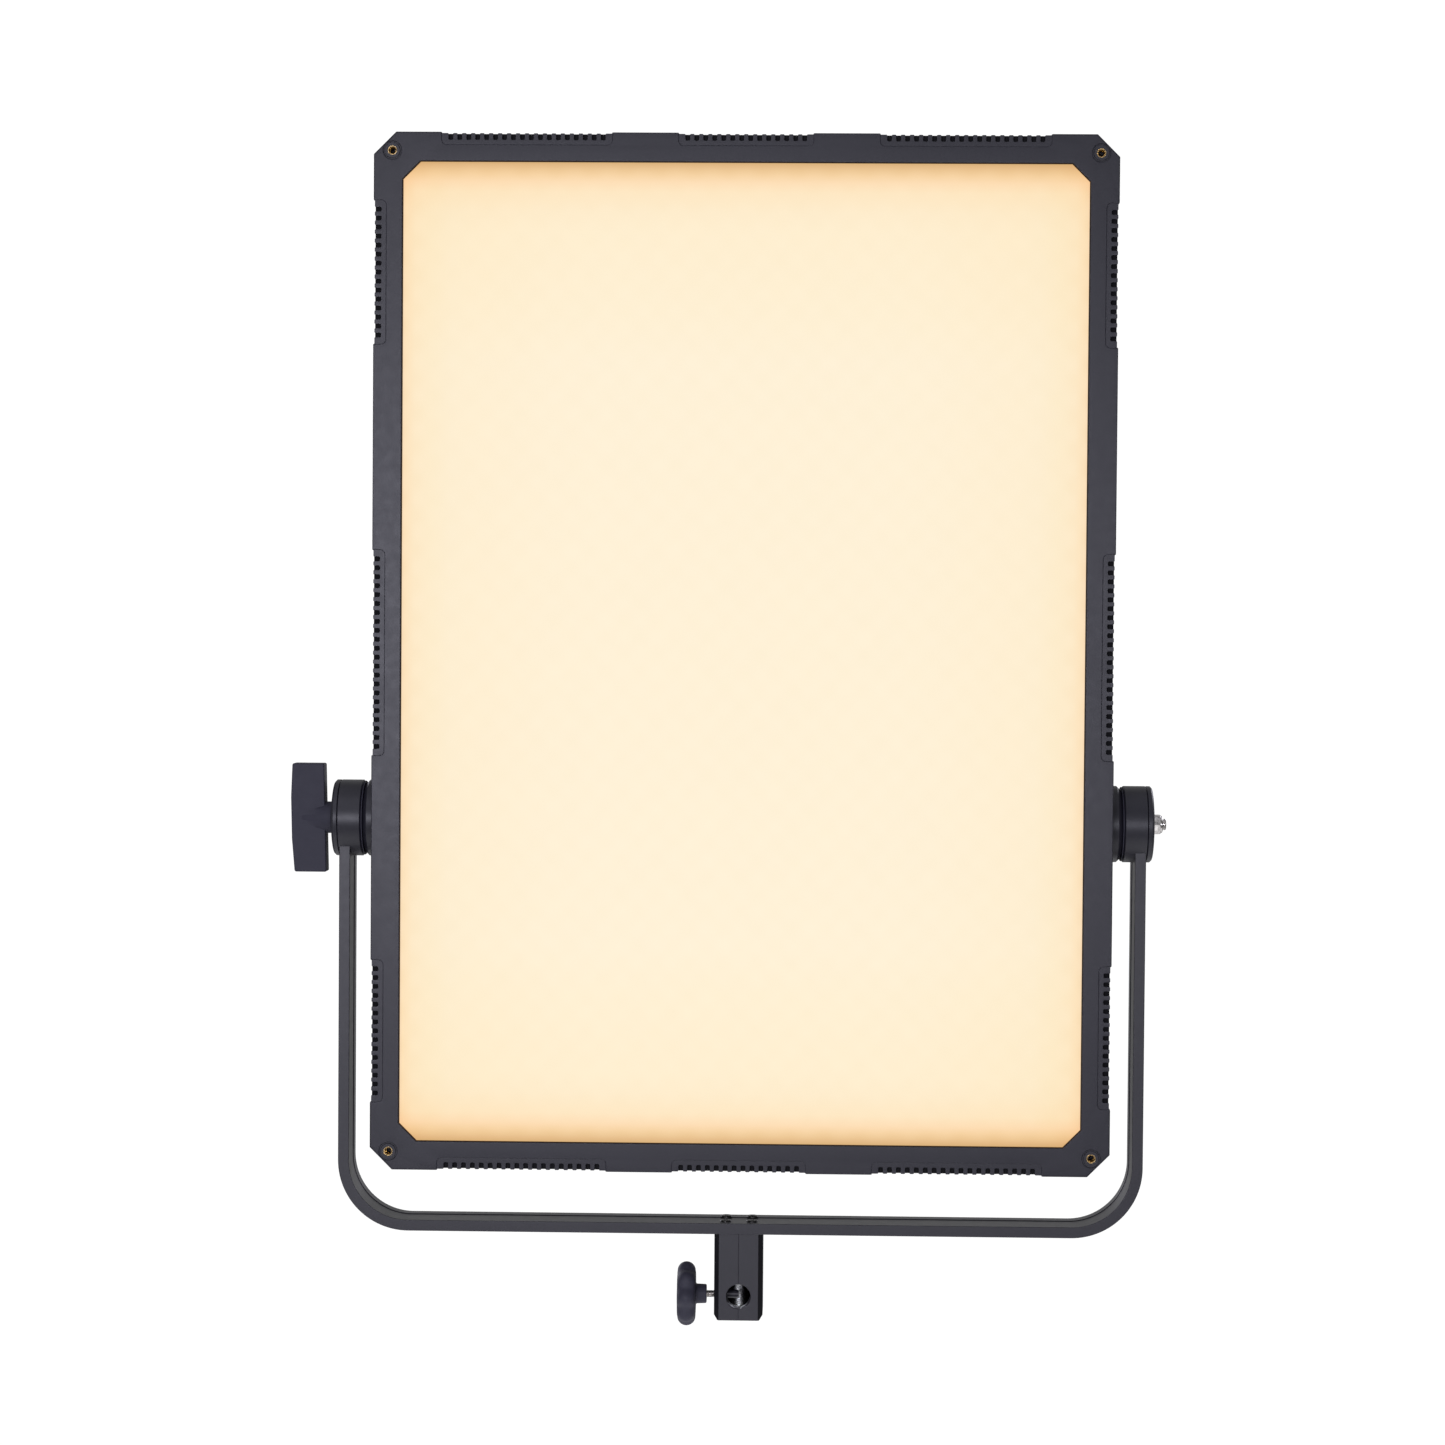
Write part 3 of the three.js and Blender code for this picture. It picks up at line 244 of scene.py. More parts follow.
def round_over(start, end, first, last, steps=3):
    """Steps (distance, inset) of a plate from start to end with quarter-round edges."""
    made = []
    for k in range(steps + 1):
        a = math.pi / 2 * k / steps
        made.append((start + first * (1 - math.cos(a)), first * (1 - math.sin(a))))
    for k in range(steps + 1):
        a = math.pi / 2 * (1 - k / steps)
        made.append((end - last * (1 - math.cos(a)), last * (1 - math.sin(a))))
    return made


# ---------- solids ----------


def spot(axis, u, v, t):
    """A point from its place in an outline and its distance along the axis."""
    return {"x": (t, u, v), "y": (u, t, v), "z": (u, v, t)}[axis]


def ring_faces(bm, rings, closed=False):
    """Quads between rings of vertices that all have the same count."""
    pairs = list(zip(rings, rings[1:]))
    if closed:
        pairs.append((rings[-1], rings[0]))
    for low, high in pairs:
        count = len(low)
        for i in range(count):
            j = (i + 1) % count
            bm.faces.new((low[i], low[j], high[j], high[i]))


def cap(bm, outlines, rings):
    """Fills between an outer ring of vertices and the rings of its holes, which bulge outwards."""
    points = [Vector(point) for outline in outlines for point in outline]
    verts = []
    owner = []
    edges = []
    for number, ring in enumerate(rings):
        start = len(verts)
        edges += [(start + i, start + (i + 1) % len(ring)) for i in range(len(ring))]
        verts += ring
        owner += [number] * len(ring)
    made = delaunay_2d_cdt(points, edges, [], 1, 1e-5)
    for triangle in made[2]:
        corners = [made[3][i][0] for i in triangle if made[3][i]]
        owners = {owner[i] for i in corners}
        if len(corners) == 3 and (len(owners) > 1 or 0 in owners):
            bm.faces.new([verts[i] for i in corners])


def add_plate(bm, outer, holes, axis, steps):
    """A plate with holes; steps are (distance along the axis, inset of every edge)."""
    outlines = [outer] + [list(reversed(hole)) for hole in holes]
    stacks = []
    for outline in outlines:
        rings = []
        for distance, depth in steps:
            rings.append([bm.verts.new(spot(axis, u, v, distance)) for u, v in inset(outline, depth)])
        ring_faces(bm, rings)
        stacks.append(rings)
    for end in (0, -1):
        depth = steps[end][1]
        cap(bm, [inset(outline, depth) for outline in outlines], [rings[end] for rings in stacks])


def reach_at(item, angle):
    """Radius of a profile step at an angle: round, or with flats, no larger than its limit."""
    radius = item[0]
    sides = item[2] if len(item) > 2 else 0
    if sides:
        part = 2 * math.pi / sides
        radius *= math.cos(part / 2) / math.cos(angle % part - part / 2)
    if len(item) > 3:
        radius = min(radius, item[3])
    return radius


def add_turned(bm, profile, axis, centre, steps=96, closed=False):
    """A profile of (radius, distance) steps turned round an axis; a step may add sides and a limit."""
    rings = []
    for item in profile:
        ring = []
        for i in range(steps):
            angle = 2 * math.pi * i / steps
            r = reach_at(item, angle)
            u, v, t = r * math.cos(angle), r * math.sin(angle), item[1]
            x, y, z = spot(axis, u, v, t)
            ring.append(bm.verts.new((x + centre[0], y + centre[1], z + centre[2])))
        rings.append(ring)
    ring_faces(bm, rings, closed)


def add_loft(bm, sections):
    """A skin through sections of 3-D points, closed at both ends."""
    rings = [[bm.verts.new(p) for p in section] for section in sections]
    ring_faces(bm, rings)
    bm.faces.new(rings[0])
    bm.faces.new(rings[-1])


def softened(profile, radius, steps=3):
    """An open profile of (radius, distance) with its inner corners rounded."""
    ends = [0.0] + [radius] * (len(profile) - 2) + [0.0]
    return fillet([tuple(p) for p in profile], ends, steps)


def thread(start, pitch, count, root, crest):
    """Profile steps of a screw thread."""
    made = []
    for k in range(count):
        made += [(root, start + k * pitch), (crest, start + k * pitch + pitch / 2)]
    return made


# ---------- pieces ----------


def drawn(draw, *shape, **how):
    """A bmesh with one shape in it."""
    bm = bmesh.new()
    draw(bm, *shape, **how)
    return bm


def mesh_object(name, bm):
    """An object from a bmesh drawn in millimetres."""
    bmesh.ops.remove_doubles(bm, verts=bm.verts, dist=1e-4)
    flat = [f for f in bm.faces if f.calc_area() < 1e-9]
    bmesh.ops.delete(bm, geom=flat, context="FACES_ONLY")
    bmesh.ops.recalc_face_normals(bm, faces=bm.faces)
    bmesh.ops.scale(bm, vec=(MM, MM, MM), verts=bm.verts)
    mesh = bpy.data.meshes.new(name)
    bm.to_mesh(mesh)
    bm.free()
    made = bpy.data.objects.new(name, mesh)
    bpy.context.scene.collection.objects.link(made)
    return made


def carve(target, tool_bm, operation="DIFFERENCE", finish=0):
    """Cuts a solid from a piece, or joins it on; its new faces take the finish with that number."""
    tool = mesh_object(target.name + "_tool", tool_bm)
    for slot in target.data.materials:
        tool.data.materials.append(slot)
    for face in tool.data.polygons:
        face.material_index = finish
    step = target.modifiers.new("cut", "BOOLEAN")
    step.object = tool
    step.operation = operation
    step.solver = "EXACT"
    graph = bpy.context.evaluated_depsgraph_get()
    graph.update()
    old = target.data
    made = bpy.data.meshes.new_from_object(target.evaluated_get(graph))
    target.modifiers.clear()
    target.data = made
    bpy.data.meshes.remove(old)
    bpy.data.objects.remove(tool)


def finish_piece(made, body, slot, finish, node=None, bevel=0.0, angle=35, segments=2):
    """Smooth shading, finish, and the body that the piece moves with."""
    if not made.data.materials:
        made.data.materials.append(finish_of(finish))
    sharp = angle
    if bevel > 0:
        sharp += 15
        step = made.modifiers.new("edges", "BEVEL")
        step.width = bevel * MM
        step.segments = segments
        step.limit_method = "ANGLE"
        step.angle_limit = math.radians(angle)
        step.harden_normals = False
    made.data.shade_smooth()
    made.data.set_sharp_from_angle(angle=math.radians(sharp))
    made.modifiers.new("faces", "WEIGHTED_NORMAL").keep_sharp = True
    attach(made, body)
    if node:
        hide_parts(node)


def piece(name, bm, *rest, **how):
    """One finished piece from a bmesh; the rest is what finish_piece takes."""
    finish_piece(mesh_object(name, bm), *rest, **how)


def refined(node, name, slot, finish, bevel, angle=30, segments=2, body="lamp_head"):
    """A finer version of a frame node: flat faces joined up and every edge rounded."""
    bm = bmesh.new()
    bm.from_mesh(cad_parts[node].data)
    bmesh.ops.remove_doubles(bm, verts=bm.verts, dist=1e-7)
    bmesh.ops.scale(bm, vec=(1 / MM, 1 / MM, 1 / MM), verts=bm.verts)
    bmesh.ops.dissolve_limit(bm, angle_limit=math.radians(1), verts=bm.verts, edges=bm.edges)
    piece(name, bm, body, slot, finish, node, bevel, angle, segments)


# ---------- finishes ----------


def wire(tree, node, inputs):
    """Sets inputs of a node; each is a value or the output of another node."""
    for name, value in inputs.items():
        if isinstance(value, bpy.types.NodeSocket):
            tree.links.new(value, node.inputs[name])
        else:
            node.inputs[name].default_value = value


def add_node(tree, kind, inputs=None, operation=None):
    made = tree.nodes.new("ShaderNode" + kind)
    if operation:
        made.operation = operation
    wire(tree, made, inputs or {})
    return made


def new_finish(name):
    """A material with its node tree and its shader."""
    made = bpy.data.materials.new(name)
    made.use_nodes = True
    return made, made.node_tree, made.node_tree.nodes["Principled BSDF"]


def object_place(tree):
    return add_node(tree, "TexCoord").outputs["Object"]


def noise(tree, scale, detail=4.0, stretch=(1, 1, 1)):
    where = add_node(tree, "Mapping", {"Scale": stretch, "Vector": object_place(tree)})
    inputs = {"Scale": scale, "Detail": detail, "Vector": where.outputs["Vector"]}
    return add_node(tree, "TexNoise", inputs).outputs["Fac"]


def ramp(tree, source, stops):
    made = add_node(tree, "ValToRGB", {"Fac": source})
    elements = made.color_ramp.elements
    while len(elements) < len(stops):
        elements.new(0.5)
    for element, (where, colour) in zip(elements, stops):
        element.position = where
        element.color = (*colour, 1.0)
    return made.outputs["Color"]


def calc(tree, operation, *values):
    return add_node(tree, "Math", dict(enumerate(values)), operation).outputs[0]


def between(tree, source, low, high, start=0.3, end=0.7):
    inputs = {"From Min": start, "From Max": end, "To Min": low, "To Max": high, "Value": source}
    return add_node(tree, "MapRange", inputs).outputs["Result"]


def grain(tree, shader, height, strength, distance):
    bump = add_node(tree, "Bump", {"Strength": strength, "Distance": distance, "Height": height})
    wire(tree, shader, {"Normal": bump.outputs["Normal"]})


def shade(colour, factor):
    return tuple(min(1.0, c * factor) for c in colour)


def coated(name, colour, roughness, spread=0.10, texture=2200.0, lumps=0.18, specular=0.5):
    """A painted or moulded surface: faint mottling, fine grain and uneven gloss."""
    made, tree, shader = new_finish(name)
    stops = [(0.30, shade(colour, 1 - spread)), (0.52, colour), (0.74, shade(colour, 1 + spread))]
    wire(tree, shader, {
        "Base Color": ramp(tree, noise(tree, 38.0, 6.0), stops),
        "Roughness": between(tree, noise(tree, 160.0, 3.0), roughness - 0.02, roughness + 0.02),
        "Specular IOR Level": specular,
    })
    grain(tree, shader, noise(tree, texture, 2.0), lumps, 0.0002)
    return made


def brushed(name, colour, roughness, stretch=(1, 1, 1), scale=900.0, lumps=0.25, spread=0.12):
    """Bare or plated metal with fine marks from tools or plating."""
    made, tree, shader = new_finish(name)
    marks = noise(tree, scale, 5.0, stretch)
    stops = [(0.3, shade(colour, 1 - spread)), (0.7, shade(colour, 1 + spread))]
    wire(tree, shader, {
        "Base Color": ramp(tree, marks, stops),
        "Roughness": between(tree, marks, roughness * 0.75, roughness * 1.35),
        "Metallic": 1.0,
    })
    grain(tree, shader, marks, lumps, 0.00015)
    return made


def bore_with_painted_highlight(name, colour):
    """Reamed bore: a painted highlight down its back, with painted shade that darkens it towards its sides.
    """
    made, tree, shader = new_finish(name)
    parts = add_node(tree, "SeparateXYZ", {"Vector": object_place(tree)})
    marks = noise(tree, 620.0, 4.0, (1, 1, 2.5))
    uneven = calc(tree, "MULTIPLY_ADD", marks, 0.0022, calc(tree, "ABSOLUTE", parts.outputs["X"]))
    highlight_band = calc(tree, "DIVIDE", calc(tree, "SUBTRACT", uneven, 0.0011), 0.0082)
    # base colour bright down the middle of the bore and dark at its sides: a painted highlight and painted
    # shade
    stops = ((0.0, 1.35), (0.22, 1.30), (0.40, 0.22), (0.70, 0.05), (1.0, 0.04))
    wire(tree, shader, {
        "Base Color": ramp(tree, highlight_band, [(where, shade(colour, share)) for where, share in stops]),
        "Roughness": between(tree, marks, 0.14, 0.26),
        "Metallic": 1.0,
    })
    grain(tree, shader, marks, 0.35, 0.0002)
    return made


def glowing(name, glow):
    """The lit sheet: brightest in the middle, warmer and darker towards its edges, with faint lamps."""
    made, tree, shader = new_finish(name)
    parts = add_node(tree, "SeparateXYZ", {"Vector": object_place(tree)})
    x = parts.outputs["X"]
    z = calc(tree, "SUBTRACT", parts.outputs["Z"], PANEL_Z * MM)

    def from_edge(half, along):
        room = calc(tree, "SUBTRACT", (half - BEZEL_WIDTH) * MM, calc(tree, "ABSOLUTE", along))
        return calc(tree, "DIVIDE", room, GLOW_FADE)

    side, top = from_edge(HALF_W, x), from_edge(HALF_H, z)
    side_tone = ramp(tree, side, [
        (0.0, (0.960, 0.815, 0.690)), (0.020, (0.985, 0.870, 0.735)), (0.065, (0.990, 0.925, 0.833)),
        (0.10, (0.990, 0.940, 0.862)), (0.15, (0.990, 0.955, 0.885)), (0.25, (0.992, 0.972, 0.935)),
        (0.35, (1.0, 0.981, 0.948)), (0.75, (1.0, 0.995, 0.988)), (1.0, (1.0, 1.0, 1.0)),
    ])
    top_tone = ramp(tree, top, [
        (0.0, (0.690, 0.485, 0.245)), (0.020, (0.768, 0.541, 0.311)), (0.040, (0.847, 0.637, 0.396)),
        (0.065, (0.926, 0.729, 0.507)), (0.10, (0.991, 0.827, 0.667)), (0.15, (0.995, 0.909, 0.791)),
        (0.25, (0.995, 0.954, 0.885)), (0.35, (1.0, 0.976, 0.924)), (0.75, (1.0, 0.991, 0.965)),
        (1.0, (1.0, 1.0, 1.0)),
    ])
    # lamps of two colours stand in a chequer, and they show more clearly near the edges
    waves = [calc(tree, "COSINE", calc(tree, "MULTIPLY", at, math.pi / glow.lamp_pitch)) for at in (x, z)]
    near = calc(tree, "MULTIPLY", calc(tree, "MINIMUM", side, top), 7.0)
    edge = calc(tree, "MAXIMUM", calc(tree, "SUBTRACT", 1.0, near), 0.0)
    size = calc(tree, "MULTIPLY_ADD", edge, glow.ripple * 3.0, glow.ripple)
    level = calc(tree, "MULTIPLY", calc(tree, "MULTIPLY", *waves), size)
    shares = {i: calc(tree, "MULTIPLY_ADD", level, share, 1.0) for i, share in enumerate((0.3, 0.5, 1.0))}
    sheet = [(0.3, (0.080, 0.078, 0.072)), (0.7, (0.090, 0.087, 0.080))]
    colour = side_tone
    for factor in (top_tone, add_node(tree, "CombineXYZ", shares).outputs["Vector"], glow.centre):
        colour = add_node(tree, "VectorMath", {0: colour, 1: factor}, "MULTIPLY").outputs["Vector"]
    wire(tree, shader, {
        "Emission Color": colour,
        "Emission Strength": glow.strength,
        "Base Color": ramp(tree, noise(tree, 60.0, 3.0), sheet),
        "Roughness": 0.6,
        "Specular IOR Level": 0.15,
    })
    grain(tree, shader, noise(tree, 3000.0, 2.0), 0.1, 0.0001)
    return made


def flecked(name, scale, detail, dark, light, inputs, lit=0.0):
    """Two close tones in soft flecks; a lit one has a light of its own."""
    made, tree, shader = new_finish(name)
    tone = ramp(tree, noise(tree, scale, detail), [(0.3, dark), (0.7, light)])
    wire(tree, shader, {"Base Color": tone, **inputs})
    if lit:
        wire(tree, shader, {"Emission Color": tone, "Emission Strength": lit})
    return made


def glass_finish(name):
    made = flecked(name, 25.0, 3.0, (0.004, 0.006, 0.009), (0.007, 0.010, 0.014), {"Coat Weight": 0.6})
    tree = made.node_tree
    wire(tree, tree.nodes["Principled BSDF"], {"Roughness": between(tree, noise(tree, 90.0), 0.04, 0.10)})
    return made


def board_finish(name):
    """Circuit board: green lacquer with paler tracks."""
    made, tree, shader = new_finish(name)
    tracks = add_node(tree, "TexBrick", {
        "Scale": 120.0,
        "Mortar Size": 0.035,
        "Color1": (0.010, 0.085, 0.035, 1),
        "Color2": (0.014, 0.105, 0.045, 1),
        "Mortar": (0.05, 0.20, 0.09, 1),
        "Vector": object_place(tree),
    })
    wire(tree, shader, {"Base Color": tracks.outputs["Color"], "Roughness": 0.4})
    grain(tree, shader, noise(tree, 600.0, 3.0), 0.1, 0.0002)
    return made


FINISHES = {}


def finish_of(name):
    """The shared finish with this name, made when it is first asked for."""
    if name in FINISHES:
        return FINISHES[name]
    colours = bpy.context.scene.lamp_colours
    cyan = (0.30, 0.75, 1.0)
    panel = shade(colours.panel_paint, 0.92)
    steel = shade(colours.steel, 0.95)
    dull = {"Roughness": 0.4}
    makers = {
        "panel_paint": lambda: coated("panel_paint", panel, 0.38, 0.05, specular=0.41),
        "yoke_paint": lambda: coated("yoke_paint", colours.yoke_paint, 0.40, 0.05, 2600.0, 0.14),
        "plastic": lambda: coated("moulded_plastic", colours.plastic, 0.40, 0.06, 1700.0, 0.16),
        "grip": lambda: coated("grip_plastic", shade(colours.plastic, 2.1), 0.60, 0.06, 1700.0, 0.16, 0.35),
        # dark brown for the thin ring round the window: painted shade of the gap behind the bezel's lip
        "seal": lambda: coated("window_edge_shade", (0.050, 0.024, 0.012), 0.7, 0.15, 1200.0, 0.2, 0.2),
        # darker copy of the yoke paint: painted shade at the back of the bezel's slots, and the darker paint
        # on the socket block's corner chamfers
        "darker_paint_and_painted_shade": lambda: coated("darker_paint_and_painted_shade", shade(colours.yoke_paint, 0.3), 0.7, 0.10, specular=0.15),
        "rubber": lambda: coated("rubber", colours.rubber, 0.72, 0.15, 1200.0, 0.3, 0.3),
        "steel": lambda: brushed("plated_steel", steel, 0.17, (1, 1, 1), 420.0, 0.5, 0.5),
        "dark_steel": lambda: brushed("black_steel", shade(colours.steel, 0.09), 0.38),
        "aluminium": lambda: brushed("bare_aluminium", colours.aluminium, 0.30, (1, 1, 12), 260.0),
        "bore": lambda: bore_with_painted_highlight("bore_painted_highlight", colours.aluminium),
        "brass": lambda: brushed("brass", colours.brass, 0.28),
        "copper": lambda: coated("bronze_pad", shade(colours.copper, 1.5), 0.30, 0.12, 900.0, 0.1),
        "white": lambda: coated("white_plastic", (0.80, 0.80, 0.78), 0.55, 0.03, 1500.0, 0.05),
        "mask": lambda: coated("white_board", (0.74, 0.75, 0.74), 0.42, 0.04, 900.0, 0.05),
        "board": lambda: board_finish("circuit_board"),
        "glass": lambda: glass_finish("display_glass"),
        "marks": lambda: coated("printed_marks", (0.55, 0.55, 0.54), 0.6, 0.05, 1500.0, 0.05),
        "lit_marks": lambda: flecked("lit_marks", 1500.0, 1.0, shade(cyan, 0.8), cyan, dull, 0.7),
        "glow": lambda: glowing("lit_diffuser", bpy.context.scene.lamp_glow),
    }
    FINISHES[name] = makers[name]()
    return FINISHES[name]


# ---------- the panel ----------


def edge_outline(sizes, margin, rim, cut=False):
    """The bezel's outline, stepped in at each group of slots; the rim is (in from the edge, rounding)."""
    width, depth = sizes.slot_width / MM, sizes.slot_depth / MM
    step, tip = rim[-1][0], sizes.fin_round / MM

    def run(groups):
        made = []
        for centre, slots in groups:
            half = (slots - 1) * SLOT_PITCH / 2
            reach = half + width / 2 + margin
            made += [(centre - reach, d, r) for d, r in rim]
            for i in range(slots if cut else 0):
                a = centre - half + i * SLOT_PITCH - width / 2
                b = a + width
                made += [(a, step, tip), (a, depth, 0.9), (b, depth, 0.9), (b, step, tip)]
            made += [(centre + reach, d, r) for d, r in reversed(rim)]
        return made

    a, b, c = HALF_W - rim[0][0], HALF_H - rim[0][0], CORNER_CUT
    across, up = run(SLOT_GROUPS_ACROSS), run(SLOT_GROUPS_UP)
    corners = [(-a + c, -b, 0.5)] + [(t, -HALF_H + d, r) for t, d, r in across] + [(a - c, -b, 0.5)]
    corners += [(a, -b + c, 0.5)] + [(HALF_W - d, t, r) for t, d, r in up] + [(a, b - c, 0.5)]
    corners += [(a - c, b, 0.5)] + [(-t, HALF_H - d, r) for t, d, r in across] + [(-a + c, b, 0.5)]
    corners += [(-a, b - c, 0.5)] + [(-HALF_W + d, -t, r) for t, d, r in up] + [(-a, -b + c, 0.5)]
    return fillet([(x, z + PANEL_Z) for x, z, _ in corners], [r for _, _, r in corners], 3)


def window_outline():
    return octagon(HALF_W - BEZEL_WIDTH, HALF_H - BEZEL_WIDTH, WINDOW_CUT, 0, PANEL_Z)


def insert_places():
    for name in ("top_left", "top_right", "bottom_left", "bottom_right"):
        x, _, z = middle("corner_insert_" + name)
        yield name, x, z


class LAMP_OT_bezel(bpy.types.Operator):
    """Front bezel: slotted edges, sunk faces round the slots, a boss at each corner"""

    bl_idname = "lamp.bezel"
    bl_label = "Front bezel"

    def execute(self, context):
        sizes = context.scene.lamp_sizes
        front = BOSS_Y + 0.5
        floor = front + sizes.recess_depth / MM
        behind = front + SHADED_BACKING_DEPTH
        holes = [circle(3.6, x, z) for _, x, z in insert_places()]
        holes.append(octagon(HALF_W - 9.5, HALF_H - 9.5, 16, 0, PANEL_Z))
        grooves = [circle(5.95, x, z, 48) for _, x, z in insert_places()]
        bm = bmesh.new()
        add_plate(bm, edge_outline(sizes, SLOT_MARGIN, [(0.06, 0.5), (0.8, 0.5)], True), holes, "y",
                  round_over(floor, BEZEL_BACK, 0.15, 0.2, 2))
        add_plate(bm, edge_outline(sizes, SLOT_MARGIN + 0.3, [(0.4, 0.1), (0.9, 0.1)]), holes, "y",
                  round_over(behind, BEZEL_BACK - 0.4, 0.1, 0.1, 1))
        sunk = [(0.0, 0.8), (sizes.recess_reach / MM, 3.0)]
        grooves.append(fillet(window_outline(), 0.8, 3))
        add_plate(bm, edge_outline(sizes, SLOT_MARGIN, sunk), grooves, "y",
                  round_over(front, front + 2.0, sizes.edge_round / MM, 0.1))
        for _, x, z in insert_places():
            boss = [(3.55, floor + 0.4), (3.55, BOSS_Y + 0.32), (3.05, BOSS_Y + 0.32), (3.05, BOSS_Y + 0.15),
                    (3.25, BOSS_Y), (4.95, BOSS_Y), (5.3, BOSS_Y + 0.3), (5.4, floor + 0.4)]
            add_turned(bm, boss, "y", (x, 0, z), 48, closed=True)
        made = mesh_object("bezel_plate", bm)
        made.data.materials.append(finish_of("panel_paint"))
        made.data.materials.append(finish_of("darker_paint_and_painted_shade"))
        # faces of the backing plate at the back of the slots take the darker paint: painted shade in the
        # slots
        for face in made.data.polygons:
            if abs(face.center.y / MM - behind) < 0.05:
                face.material_index = 1
        finish_piece(made, "lamp_head", "panel_paint", "panel_paint", "front_bezel")
        return {"FINISHED"}


class LAMP_OT_inserts(bpy.types.Operator):
    """Threaded inserts in the corners of the bezel"""

    bl_idname = "lamp.inserts"
    bl_label = "Corner inserts"

    def execute(self, context):
        for name, x, z in insert_places():
            low, high = span("corner_insert_" + name)
            start, end, pitch = low[1] - 0.15, high[1], 0.7
            turns = int((end - start - 1.2) / pitch)
            profile = [(3.5, end), (3.5, start + 0.3), (3.25, start), (2.75, start), (2.15, start + 0.6),
                       *thread(start + 0.9, pitch, turns, 2.05, 2.35), (2.1, end)]
            piece("threaded_insert_" + name, drawn(add_turned, profile, "y", (x, 0, z), 40, closed=True),
                  "lamp_head", "brass_insert", "brass", "corner_insert_" + name)
        return {"FINISHED"}


class LAMP_OT_sheet(bpy.types.Operator):
    """Lit diffuser sheet behind the bezel's window, and a thin dark ring lining the window that is painted
    shade of the gap between the bezel's lip and the sheet
    """

    bl_idname = "lamp.sheet"
    bl_label = "Lit sheet"

    def execute(self, context):
        low, high = span("diffuser_sheet")
        outline = fillet(octagon(high[0], (high[2] - low[2]) / 2, 16, 0, PANEL_Z), 1.0, 3)
        piece("lit_sheet", drawn(add_plate, outline, [], "y", round_over(low[1], high[1], 0.4, 0.4)),
              "lamp_head", "lit_diffuser", "glow", "diffuser_sheet")
        # thin dark brown ring just behind the lip: painted shade of the gap round the window
        rim = round_over(BOSS_Y + 1.2, BOSS_Y + 2.6, 0.15, 0.1, 2)
        edge = window_outline()
        piece("window_edge_shade", drawn(add_plate, inset(edge, 0.05), [inset(edge, 0.45)], "y", rim),
              "lamp_head", "friction_rubber", "seal")
        return {"FINISHED"}


class LAMP_OT_housing(bpy.types.Operator):
    """Housing frame behind the bezel, slotted rear cover and its screws"""

    bl_idname = "lamp.housing"
    bl_label = "Housing and cover"

    def execute(self, context):
        low, high = span("housing_frame")
        start, end = low[1], high[1]

        def outline(less):
            return octagon(high[0] - less, (high[2] - low[2]) / 2 - less, CORNER_CUT, 0, PANEL_Z)

        grooves = [(start, 0.3), (start + 0.3, 0)]
        for at in (start + 20, start + 36):
            grooves += [(at, 0), (at + 0.5, 0.6), (at + 1.5, 0.6), (at + 2, 0)]
        grooves += [(end - 0.8, 0), (end - 0.25, 0.25), (end, 0.8)]
        bm = bmesh.new()
        add_plate(bm, fillet(outline(0), 1.2, 3), [outline(3)], "y", grooves)
        ledge = span("heat_spreader")[0][1] + 2.3
        for first, last in ((ledge, ledge + 3), (end - 3, end - 0.05)):
            add_plate(bm, outline(2.6), [outline(15)], "y", round_over(first, last, 0.3, 0.3, 2))
        piece("housing_shell", bm, "lamp_head", "panel_paint", "panel_paint", "housing_frame")
        self.cover()
        return {"FINISHED"}

    def cover(self):
        low, high = span("rear_cover")
        elec_low, elec_high = span("electronics_housing")
        above = (PANEL_Z + HALF_H + elec_high[2]) / 2
        below = (PANEL_Z - HALF_H + elec_low[2]) / 2
        holes = []
        for i in range(LOUVRES):
            x = (i - LOUVRES // 2) * LOUVRE_PITCH
            holes += [oblong(4, 60, 3.9, x, above), oblong(4, 16, 3.9, x, below)]
        for i in range(1, 5):
            x, _, z = middle("cover_screw_%d" % i)
            holes.append(circle(2.3, x, z, 24))
        outline = fillet(octagon(high[0], (high[2] - low[2]) / 2, CORNER_CUT, 0, PANEL_Z), 1.2, 3)
        piece("vented_cover", drawn(add_plate, outline, holes, "y", round_over(low[1], high[1], 0.2, 0.7)),
              "lamp_head", "panel_paint", "panel_paint", "rear_cover")
        for i in range(1, 5):
            node = "cover_screw_%d" % i
            low, high = span(node)
            x, _, z = middle(node)
            top = high[1]
            seat = top - 2.2
            head = softened([(3.8, seat), (3.8, seat + 0.5), (2.6, top), (1.8, top)], 0.6, 4)
            profile = [(0, low[1]), (1.5, low[1]), (1.5, seat), *head, (1.45, top, 6), (1.45, top - 1.3, 6),
                       (0, top - 1.6)]
            piece("cover_fixing_%d" % i, drawn(add_turned, profile, "y", (x, 0, z), 48),
                  "lamp_head", "black_steel", "dark_steel", node)


class LAMP_OT_light_engine(bpy.types.Operator):
    """Reflector, light board, heat spreader, supply and boards inside the panel"""

    bl_idname = "lamp.light_engine"
    bl_label = "Light engine"

    def execute(self, context):
        refined("reflector_frame", "reflector_walls", "white_plastic", "white", 0.4)
        refined("led_board", "lamp_board", "white_board", "mask", 0.2)
        refined("heat_spreader", "finned_spreader", "bare_aluminium", "aluminium", 0.25)
        refined("power_supply", "supply_case", "supply_case", "aluminium", 1.2, 30, 3)
        refined("control_board", "control_circuit", "circuit_board", "board", 0.15)
        refined("display_module", "display_back", "circuit_board", "board", 0.3)
        return {"FINISHED"}


# ---------- electronics housing, controls and connectors ----------


